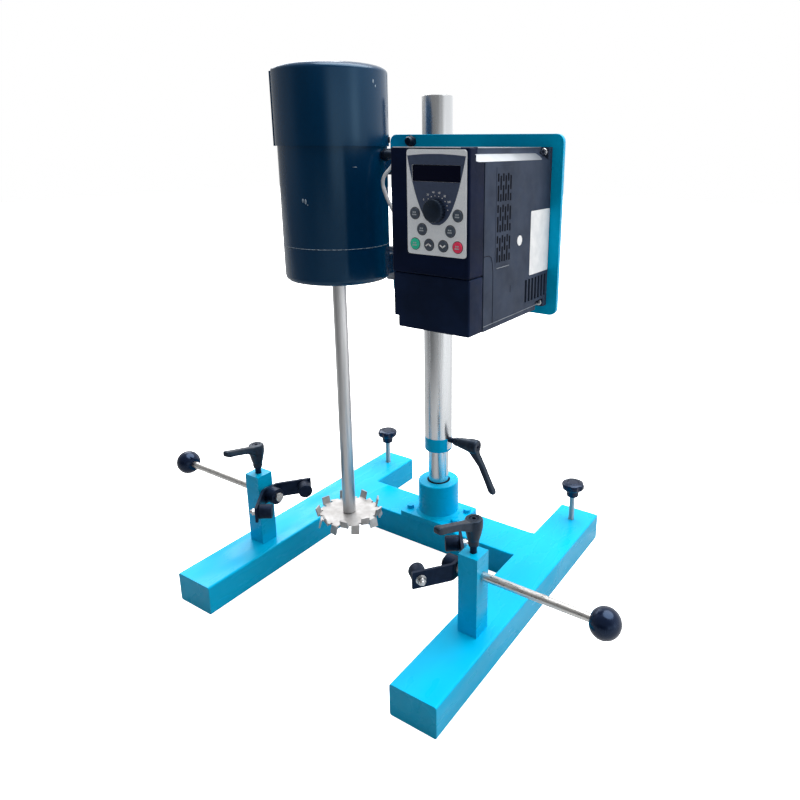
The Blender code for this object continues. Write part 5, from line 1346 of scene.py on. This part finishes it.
class DISPERSER_OT_drive(bpy.types.Operator):
    """Dress the drive's housing and covers, and add its screws, part lines and blank labels."""

    bl_idname = "disperser.drive"
    bl_label = "Speed Drive"

    def execute(self, context):
        dress("drive_housing", "lit_housing_abs", 0.5 * MM, 2, 60)
        self.front_cover()
        dress("lower_cover", "shaded_terminal_abs", 0.3 * MM, 2, 60)
        dress("drive_gland", "glass_filled_nylon", 0.4 * MM)
        self.screws()
        self.edges()
        self.grille()
        self.labels()
        self.part_lines()
        return {"FINISHED"}

    def screws(self):
        """Silver cap screws in the back flange's ears."""
        for x in (93 * MM, 175 * MM):
            for z in (403 * MM, 574 * MM):
                name = f"ear_screw_{round(x / MM)}_{round(z / MM)}"
                head = lathe(name, [
                    (3.9 * MM, -MM),
                    (3.9 * MM, 2 * MM),
                    (3.2 * MM, 3 * MM),
                    (1.9 * MM, 3.2 * MM),
                ], 32)
                hole = begin(
                    bpy.ops.mesh.primitive_cylinder_add, "key", vertices=6, radius=1.7 * MM, depth=4 * MM
                )
                settle(hole, Matrix.Translation((0, 0, 3.4 * MM)))
                fuse(head, hole, "DIFFERENCE")
                settle(head, turning(FRONT, (x, FOOT_FACE, z)))
                wear(head, "zinc_plate", "head")

    def front_cover(self):
        """Front cover whose upper right corner carries on the housing's ledge and rounds it off."""
        side, top = DRIVE_SIDE, DRIVE_TOP
        wall, ledge = side - LEDGE_WIDTH, top - LEDGE_DROP
        cover = node_copy("front_cover", "front_cover_skin")
        corner = block(
            "corner", (side - 13 * MM, -211 * MM, top - 24 * MM), (side - MM, -185.4 * MM, top - MM)
        )
        fuse(cover, corner)
        notch = block("notch", (wall, -204 * MM, ledge), (side + 12 * MM, -180 * MM, top + 8 * MM))
        round_corners(notch, 2, 7 * MM, 8)
        fuse(cover, notch, "DIFFERENCE")
        slope = block("slope", (0, -202 * MM, 0), (16 * MM, -180 * MM, 12 * MM))
        round_corners(slope, 2, 6 * MM, 8)
        lean = Matrix.Rotation(math.atan2(LEDGE_FALL, LEDGE_WIDTH), 4, "Y")
        settle(slope, Matrix.Translation((wall, 0, ledge)) @ lean)
        fuse(cover, slope, "DIFFERENCE")
        soften(cover, 0.3 * MM, 2, 60)
        wear(cover, "shaded_cover_abs", "head", "front_cover")
        modify(cover, "WEIGHTED_NORMAL", keep_sharp=True)

    def grille(self):
        """Vent field of the right side: three rows of staggered dashes in a thin raised frame."""
        side = DRIVE_SIDE
        left, right, foot, head = -162.5 * MM, -129.5 * MM, 462 * MM, 560.5 * MM
        plate = block("vent_grille", (side - 0.3 * MM, left, foot), (side + 0.3 * MM, right, head), 0.2 * MM)
        # Lower and upper ends of a row's dashes in mm, in the even and in the odd columns
        even, odd = ((0, 15.4), (19.2, 26.9)), ((-0.5, 7), (10.8, 24.8))
        half, column_pitch, row_pitch = 1.6 * MM, 5.15 * MM, 30.6 * MM
        cuts = []
        for row in range(3):
            for column in range(6):
                y = left + 3.6 * MM + column * column_pitch
                start = foot + 4 * MM + row * row_pitch
                for bottom, end in odd if column % 2 else even:
                    corner = (side - 2 * MM, y - half, start + bottom * MM)
                    cuts.append(block("dash", corner, (side + 2 * MM, y + half, start + end * MM)))
        fuse(plate, merge(*cuts), "DIFFERENCE")
        wear(plate, "lit_housing_abs", "head", smooth=False)
        # Painted shade: a dark sheet behind the dashes stands for the vents' unlit depth
        slab(
            "vent_shade",
            "shade_and_joint_black",
            (side - 0.28 * MM, left + MM, foot + MM),
            (side + 0.08 * MM, right - MM, head - MM),
        )
        # Painted highlight: a pale strip along the upward-facing lip under the vents
        slab(
            "vent_lip_highlight",
            "painted_highlight_grey",
            (side - 0.2 * MM, left + 3 * MM, 459.4 * MM),
            (side + 0.5 * MM, right - 3 * MM, 460.2 * MM),
        )
        # Painted highlight: a pale strip along the fold near the foot of the side
        base = low("drive_housing").z + 5.2 * MM
        slab(
            "side_fold_highlight",
            "painted_highlight_grey",
            (side - 0.2 * MM, -184.6 * MM, base),
            (side + 0.3 * MM, -62 * MM, base + 0.7 * MM),
        )
        # Painted shade: a dark patch stands for the unlit depth of a latch slot
        slab(
            "latch_slot_shade",
            "shade_and_joint_black",
            (side - 0.2 * MM, -128.5 * MM, 430 * MM),
            (side + 0.05 * MM, -127.7 * MM, 437 * MM),
        )

    def edges(self):
        """Painted highlights: pale strips along the case's upper edges and over the sloping floor of the
        right ledge.
        """
        side, top = DRIVE_SIDE, DRIVE_TOP
        wall = side - LEDGE_WIDTH
        slab(
            "top_edge_highlight",
            "painted_highlight_edge",
            (wall - 1.3 * MM, -184 * MM, top - 0.9 * MM),
            (wall + 0.15 * MM, -47 * MM, top + 0.12 * MM),
            0.3 * MM,
            smooth=True,
        )
        slab(
            "cover_edge_highlight",
            "painted_highlight_edge",
            (91 * MM, -212.9 * MM, top - 0.8 * MM),
            (wall - 1.5 * MM, -212 * MM, top + 0.1 * MM),
            0.25 * MM,
            smooth=True,
        )
        margin = 0.1 * MM
        inner = Vector((wall + 0.3 * MM, 0, top - LEDGE_DROP - margin))
        outer = Vector((side - margin, 0, top - LEDGE_DROP - LEDGE_FALL + margin))
        slope = outer - inner
        floor = block("ledge_floor_highlight", (0, 0, -0.4 * MM), (slope.length, 143 * MM, 0.25 * MM))
        round_corners(floor, 2, 5.5 * MM, 8)
        lean = Matrix.Rotation(math.atan2(-slope.z, slope.x), 4, "Y")
        settle(floor, Matrix.Translation((inner.x, -201.5 * MM, inner.z)) @ lean)
        wear(floor, "painted_highlight_edge", "head", smooth=False)

    def labels(self):
        """Blank rating label and a blank round sticker on the right side."""
        back = DRIVE_SIDE - 0.1 * MM
        front = DRIVE_SIDE + 0.15 * MM
        label = block("blank_label", (back, -84 * MM, 441 * MM), (front, -36.5 * MM, 512 * MM))
        round_corners(label, 0, 1.5 * MM, 4)
        wear(label, "label_paper", "head", smooth=False)
        radius = 5.5 * MM
        spot = lathe("round_sticker", [(1.0, 0), (1.0, 0.25 * MM)], 40)
        place = turning((1, 0, 0), (back, -109.5 * MM, 483 * MM))
        settle(spot, place @ Matrix.Diagonal((radius, radius, 1, 1)))
        wear(spot, "label_paper", "head", smooth=False)

    def part_lines(self):
        """Moulded joint of the terminal cover on the drive's side, drawn as a thin dark line."""
        side = DRIVE_SIDE
        # Depths and heights in mm
        points = (
            (-184.8, 475), (-176, 475), (-171, 473), (-168, 467), (-166.5, 457), (-166, 440), (-166, 402),
        )
        for first, second in zip(points, points[1:]):
            start = Vector((side, first[0] * MM, first[1] * MM))
            end = Vector((side, second[0] * MM, second[1] * MM))
            reach = (end - start).length + 0.1 * MM
            line = block("joint", (-0.25 * MM, -0.25 * MM, -0.1 * MM), (0.12 * MM, 0.25 * MM, reach))
            settle(line, turning(end - start, start))
            line.name = f"side_joint_{len(bpy.data.objects)}"
            wear(line, "shade_and_joint_black", "head", smooth=False)


class DISPERSER_OT_keypad(bpy.types.Operator):
    """Print the keypad, fit its window, keys and speed knob."""

    bl_idname = "disperser.keypad"
    bl_label = "Keypad"

    def execute(self, context):
        looks = context.scene.disperser_drive
        dress("keypad_panel", "keypad_film", 0.3 * MM, 2, 60)
        window = dress("display_window", "window_acrylic", 0.4 * MM)
        window.name = "window_skin"
        self.shield(looks.shield_width)
        self.scale(looks.scale_dots)
        self.knob()
        for node, symbol in KEYS.items():
            self.key(node, symbol, looks.symbol)
        return {"FINISHED"}

    def shield(self, width):
        """Dark printed shield behind the window and the knob, pointed towards the keys."""
        top, tip = 572.8 * MM, 506.7 * MM
        columns, rows = 8, 30
        shape = begin(
            bpy.ops.mesh.primitive_grid_add,
            "shield_print",
            x_subdivisions=columns,
            y_subdivisions=rows,
            size=1,
        )
        settle(shape, Matrix.Translation((0, 0.5, 0)))
        edit(shape)
        for row in range(rows + 1):
            share = row / rows
            half = share ** 0.41 if row else 0.12
            pick_verts(shape, lambda co: abs(co.y - share) < 0.3 / rows)
            bpy.ops.transform.resize(value=(half, 1, 1), center_override=(0, share, 0))
        # The upper edge is a shallow arch
        for column in range(columns + 1):
            across = column / columns - 0.5
            pick_verts(shape, lambda co: co.y > 0.999 and abs(co.x - across) < 0.05)
            bpy.ops.transform.translate(value=(0, -0.11 * across * across, 0))
        bpy.ops.mesh.select_all(action="SELECT")
        bpy.ops.mesh.extrude_region_move(TRANSFORM_OT_translate={"value": (0, 0, 1)})
        bpy.ops.mesh.select_all(action="SELECT")
        bpy.ops.mesh.normals_make_consistent(inside=False)
        bpy.ops.object.mode_set(mode="OBJECT")
        turn = spin(90, "X")
        size = Matrix.Diagonal((width, top - tip, 0.25 * MM, 1))
        settle(shape, Matrix.Translation((PANEL.x, PANEL_FACE + 0.1 * MM, tip)) @ turn @ size)
        # The print leaves a margin round the window
        first, last = low("display_window"), high("display_window")
        margin, through = 0.3 * MM, 5 * MM
        hole = block(
            "hole",
            (first.x - margin, PANEL_FACE - through, first.z - margin),
            (last.x + margin, PANEL_FACE + through, last.z + margin),
        )
        fuse(shape, hole, "DIFFERENCE")
        wear(shape, "shield_ink", "head", smooth=False)

    def scale(self, count):
        """Arc of dots over the knob, and plain numbers above it."""
        dot_ring, number_ring = 13.8 * MM, 17.2 * MM
        centre = Vector((DIAL.x, PANEL_FACE - 0.16 * MM, DIAL.z))
        ticks = []
        for index in range(count):
            angle = math.radians(184 - 180 * index / (count - 1))
            out = Vector((math.cos(angle), 0, math.sin(angle)))
            dot = lathe("dot", [(0.5 * MM, 0), (0.5 * MM, 0.12 * MM)], 12)
            settle(dot, turning(FRONT, centre + out * dot_ring))
            ticks.append(dot)
        for index in range(6):
            angle = math.radians(146 - 23.2 * index)
            out = Vector((math.cos(angle), 0, math.sin(angle)))
            number = begin(bpy.ops.object.text_add, "number")
            number.data.body = str(20 * index)
            number.data.size = 2.6 * MM
            number.data.align_x = "CENTER"
            number.data.align_y = "CENTER"
            number.data.extrude = 0.06 * MM
            focus(number)
            bpy.ops.object.convert(target="MESH")
            settle(number, Matrix.Translation(centre + out * number_ring) @ spin(90, "X"))
            ticks.append(number)
        marks = merge(*ticks)
        marks.name = "dial_marks"
        wear(marks, "white_ink", "head", smooth=False)

    def knob(self):
        """Knurled speed knob with a pointer line."""
        segments, draw = 96, 0.965
        knob = lathe("speed_knob_grip", [
            (11.2 * MM, 0.35 * MM),
            (11.5 * MM, 0.8 * MM),
            (11.3 * MM, 6.4 * MM),
            (10.6 * MM, 7.4 * MM),
            (9.6 * MM, 7.9 * MM),
        ], segments)
        edit(knob)
        # Every second pair of the rim's segments is drawn in to make the knurl
        mesh = bmesh.from_edit_mesh(knob.data)
        for vert in mesh.verts:
            index = round(math.atan2(vert.co.y, vert.co.x) / (2 * math.pi / segments))
            if index % 4 < 2 and vert.co.z < 7 * MM:
                vert.co.x *= draw
                vert.co.y *= draw
        bmesh.update_edit_mesh(knob.data)
        bpy.ops.object.mode_set(mode="OBJECT")
        place = Matrix.Translation((DIAL.x, PANEL_FACE, DIAL.z)) @ spin(90, "X")
        stem = lathe("stem", [(3 * MM, -4.8 * MM), (3 * MM, MM)], 24)
        merge(knob, stem)
        settle(knob, place)
        wear(knob, "glass_filled_nylon", "speed_dial", "speed_knob")
        line = block("knob_pointer", (-0.35 * MM, 5.5 * MM, 7.8 * MM), (0.35 * MM, 9 * MM, 7.95 * MM))
        settle(line, place @ spin(35))
        wear(line, "rim_ink", "speed_dial", smooth=False)

    def key(self, node, symbol, size):
        """Domed round key with a plain symbol."""
        body = node + "_cap"
        caps = {"run_button": "go_ink", "stop_button": "halt_ink"}
        place = middle(node)
        front, back = low(node).y, high(node).y
        radius = (high(node).x - low(node).x) / 2
        depth = back - front
        cap = lathe(node + "_key", [
            (radius - 0.3 * MM, 0),
            (radius, 0.3 * MM),
            (radius, depth - 0.5 * MM),
            (radius - 0.25 * MM, depth - 0.15 * MM),
            (radius - 0.8 * MM, depth),
        ], 40)
        settle(cap, turning((0, -1, 0), (place.x, back, place.z)))
        wear(cap, caps.get(node, "slate_key"), body, node)
        inner, outer = radius + 0.1 * MM, radius + 0.75 * MM
        sunk, proud = -0.3 * MM, 0.05 * MM
        rim = lathe(node + "_rim", [
            (inner, sunk), (outer, sunk), (outer, proud), (inner, proud),
        ], 40, closed=True)
        settle(rim, turning((0, -1, 0), (place.x, PANEL_FACE, place.z)))
        wear(rim, "rim_ink", "head", smooth=False)
        mark = self.symbol(symbol, size)
        settle(mark, Matrix.Translation((place.x, front - 0.02 * MM, place.z)) @ spin(90, "X"))
        mark.name = node + "_mark"
        wear(mark, "white_ink" if symbol in ("up", "down") else "grey_ink", body, smooth=False)

    def symbol(self, kind, size):
        """Flat symbol facing +Z: a chevron up or down, or two rows of short dashes."""
        thick = size * 0.21
        if kind in ("up", "down"):
            strokes = []
            for turn in (36, 144):
                corner = (-size * 0.6, -thick / 2, -0.1 * MM)
                stroke = block("stroke", corner, (thick * 0.35, thick / 2, 0.1 * MM))
                settle(stroke, spin(turn))
                strokes.append(stroke)
            mark = merge(*strokes)
            settle(mark, Matrix.Translation((0, size * 0.19, 0)))
            if kind == "down":
                settle(mark, spin(180))
            return mark
        marks = []
        # Each dash has its place and its width, as shares of the symbol's size
        upper = [(x, 0.17, 0.24) for x in (-0.17, 0.17)]
        lower = [(x, -0.19, 0.15) for x in (-0.3, -0.1, 0.1, 0.3)]
        for x, y, width in upper + lower:
            corner = ((x - width / 2) * size, (y - 0.1) * size, -0.1 * MM)
            marks.append(block("dash", corner, ((x + width / 2) * size, (y + 0.1) * size, 0.1 * MM)))
        return merge(*marks)


class DISPERSER_OT_lead(bpy.types.Operator):
    """Lay the short lead from the motor's gland to the drive's gland."""

    bl_idname = "disperser.lead"
    bl_label = "Supply Lead"

    def execute(self, context):
        lead = dress("supply_lead", "lead_sheath")
        modify(lead, "SUBSURF", levels=1, render_levels=1)
        return {"FINISHED"}


class DISPERSER_OT_stage(bpy.types.Operator):
    """Set the pale floor, the soft lights, the surroundings and the camera."""

    bl_idname = "disperser.stage"
    bl_label = "Studio"

    def execute(self, context):
        looks = context.scene.disperser_stage
        self.floor()
        self.surroundings(context, looks.surroundings)
        sun = self.lamp("overhead_softbox", "SUN", looks.overhead, (0.15, 0.3, 1), (0, 0, 0))
        sun.angle = math.radians(62)
        panel = self.lamp("rear_left_softbox", "AREA", looks.rear, (-2.0, 1.05, 1.75), (0, 0, 0.1))
        panel.shape = "RECTANGLE"
        panel.size, panel.size_y = 1.5, 1.0
        self.camera(looks.lens)
        context.scene.view_settings.view_transform = "Standard"
        return {"FINISHED"}

    def lamp(self, name, kind, power, place, aim):
        """Lamp at a place, aimed at a point."""
        light = bpy.data.lights.new(name, kind)
        light.energy = power
        lamp = bpy.data.objects.new(name, light)
        bpy.context.scene.collection.objects.link(lamp)
        lamp.location = place
        lamp.rotation_euler = (Vector(aim) - Vector(place)).to_track_quat("-Z", "Y").to_euler()
        return light

    def floor(self):
        """White floor that throws back less light than it shows, as a floor cut out to white does."""
        floor = begin(bpy.ops.mesh.primitive_plane_add, "studio_floor", size=14)
        settle(floor, Matrix.Translation((0, 0, -0.2 * MM)))
        material, tree, shader = new_finish("studio_floor", srgb("FFFFFF"), 0.9, Specular_IOR_Level=0.0)
        ray = add(tree, "ShaderNodeLightPath")
        place = add(tree, "ShaderNodeTexCoord")
        axes = add(tree, "ShaderNodeSeparateXYZ", Vector=place.outputs["Object"])
        # What mirrors the floor sees it darker to the left and towards the camera
        across = add(
            tree, "ShaderNodeMapRange", Value=axes.outputs["X"],
            From_Min=-0.5, From_Max=0.9, To_Min=0.3, To_Max=0.62,
        )
        along = add(
            tree, "ShaderNodeMapRange", Value=axes.outputs["Y"],
            From_Min=-1.4, From_Max=-0.3, To_Min=0.35, To_Max=1.0,
        )
        mirrored = add(tree, "ShaderNodeMath", {"operation": "MULTIPLY"}, {
            0: across.outputs["Result"], 1: along.outputs["Result"],
        })
        unseen = add(
            tree, "ShaderNodeMix", Factor=ray.outputs["Is Glossy Ray"], A=0.2, B=mirrored.outputs["Value"]
        )
        seen = add(
            tree, "ShaderNodeMix", Factor=ray.outputs["Is Camera Ray"], A=unseen.outputs["Result"], B=0.98
        )
        tree.links.new(seen.outputs["Result"], shader.inputs["Base Color"])
        shader.inputs["Emission Color"].default_value = (1, 1, 1, 1)
        tree.links.new(ray.outputs["Is Camera Ray"], shader.inputs["Emission Strength"])
        floor.data.materials.append(material)

    def surroundings(self, context, strength):
        """White to the camera; to the object, dark in front, pale on the left and bright on the right."""
        world = bpy.data.worlds.new("studio")
        context.scene.world = world
        world.use_nodes = True
        tree = world.node_tree
        background = tree.nodes["Background"]
        place = add(tree, "ShaderNodeTexCoord")
        axes = add(tree, "ShaderNodeSeparateXYZ", Vector=place.outputs["Generated"])

        def product(*steps):
            """Product of smooth steps, each an axis, its start and end, and the values before and after."""
            result = 1.0
            for axis, start, end, before, after in steps:
                step = add(
                    tree,
                    "ShaderNodeMapRange",
                    {"interpolation_type": "SMOOTHSTEP"},
                    Value=axes.outputs[axis],
                    From_Min=start,
                    From_Max=end,
                    To_Min=before,
                    To_Max=after,
                )
                both = add(tree, "ShaderNodeMath", {"operation": "MULTIPLY"}, {
                    0: result, 1: step.outputs["Result"],
                })
                result = both.outputs["Value"]
            return result

        ray = add(tree, "ShaderNodeLightPath")
        light = product(("X", 0.3, 0.75, 0.36, 1.2))
        # Where each layer covers the ones before it, and its light
        layers = (
            # A bright strip on the right
            (product(("X", 0.5, 0.8, 0, 1), ("Y", -0.2, -0.06, 0, 1), ("Y", 0.06, 0.2, 1, 0)), 2.4),
            # The wall behind
            (product(("Y", 0.35, 0.8, 0, 1)), 1.2),
            # The dark room in front
            (product(("Y", -0.93, -0.7, 1, 0)), 0.06),
            # The ceiling, brighter towards the back
            (product(("Z", 0.12, 0.5, 0, 1)), product(("Y", -0.6, 0.4, 0.3, 1.05))),
            # The floor's surroundings
            (product(("Z", -0.15, -0.02, 1, 0)), 0.25),
            # The white that the camera sees
            (ray.outputs["Is Camera Ray"], 1.0),
        )
        for share, over in layers:
            light = add(tree, "ShaderNodeMix", Factor=share, A=light, B=over).outputs["Result"]
        tree.links.new(light, background.inputs["Color"])
        background.inputs["Strength"].default_value = strength

    def camera(self, lens):
        """Camera solved from the photograph: 32.5 degrees left of +Y and 16.3 degrees down."""
        camera = bpy.data.cameras.new("photo_camera")
        camera.sensor_width = 36
        camera.lens = lens
        camera.shift_x = -0.07063
        camera.shift_y = -0.07261
        camera.clip_start = 0.01
        eye = bpy.data.objects.new("photo_camera", camera)
        bpy.context.scene.collection.objects.link(eye)
        eye.location = (0.51129, -0.75474, 0.58096)
        heading, pitch, roll = 0.567, 0.285, 0.0047
        turn = Matrix.Rotation(heading, 4, "Z") @ Matrix.Rotation(math.pi / 2 - pitch, 4, "X")
        eye.rotation_euler = (turn @ Matrix.Rotation(roll, 4, "Z")).to_euler()
        bpy.context.scene.camera = eye


class DISPERSER_PT_panel(bpy.types.Panel):
    """Buttons for each group of pieces."""

    bl_idname = "DISPERSER_PT_panel"
    bl_label = "Disperser"
    bl_space_type = "VIEW_3D"
    bl_region_type = "UI"
    bl_category = "Disperser"

    def draw(self, context):
        layout = self.layout
        for looks in ("disperser_frame", "disperser_motor", "disperser_drive", "disperser_stage"):
            group = getattr(context.scene, looks)
            for name in group.__annotations__:
                layout.prop(group, name)
        for operator in OPERATORS:
            layout.operator(operator.bl_idname)


GROUPS = {
    "disperser_frame": FrameLooks,
    "disperser_motor": MotorLooks,
    "disperser_drive": DriveLooks,
    "disperser_stage": StageLooks,
}
OPERATORS = (
    DISPERSER_OT_stage,
    DISPERSER_OT_frame,
    DISPERSER_OT_column,
    DISPERSER_OT_levers,
    DISPERSER_OT_clamps,
    DISPERSER_OT_jacks,
    DISPERSER_OT_motor,
    DISPERSER_OT_shaft,
    DISPERSER_OT_drive,
    DISPERSER_OT_keypad,
    DISPERSER_OT_lead,
)


def register():
    for name, group in GROUPS.items():
        bpy.utils.register_class(group)
        setattr(bpy.types.Scene, name, PointerProperty(type=group))
    for operator in OPERATORS:
        bpy.utils.register_class(operator)
    bpy.utils.register_class(DISPERSER_PT_panel)


def unregister():
    bpy.utils.unregister_class(DISPERSER_PT_panel)
    for operator in reversed(OPERATORS):
        bpy.utils.unregister_class(operator)
    for name, group in GROUPS.items():
        delattr(bpy.types.Scene, name)
        bpy.utils.unregister_class(group)


def main():
    register()
    for operator in OPERATORS:
        group, name = operator.bl_idname.split(".")
        getattr(getattr(bpy.ops, group), name)()
    deselect()


if __name__ == "__main__":
    main()
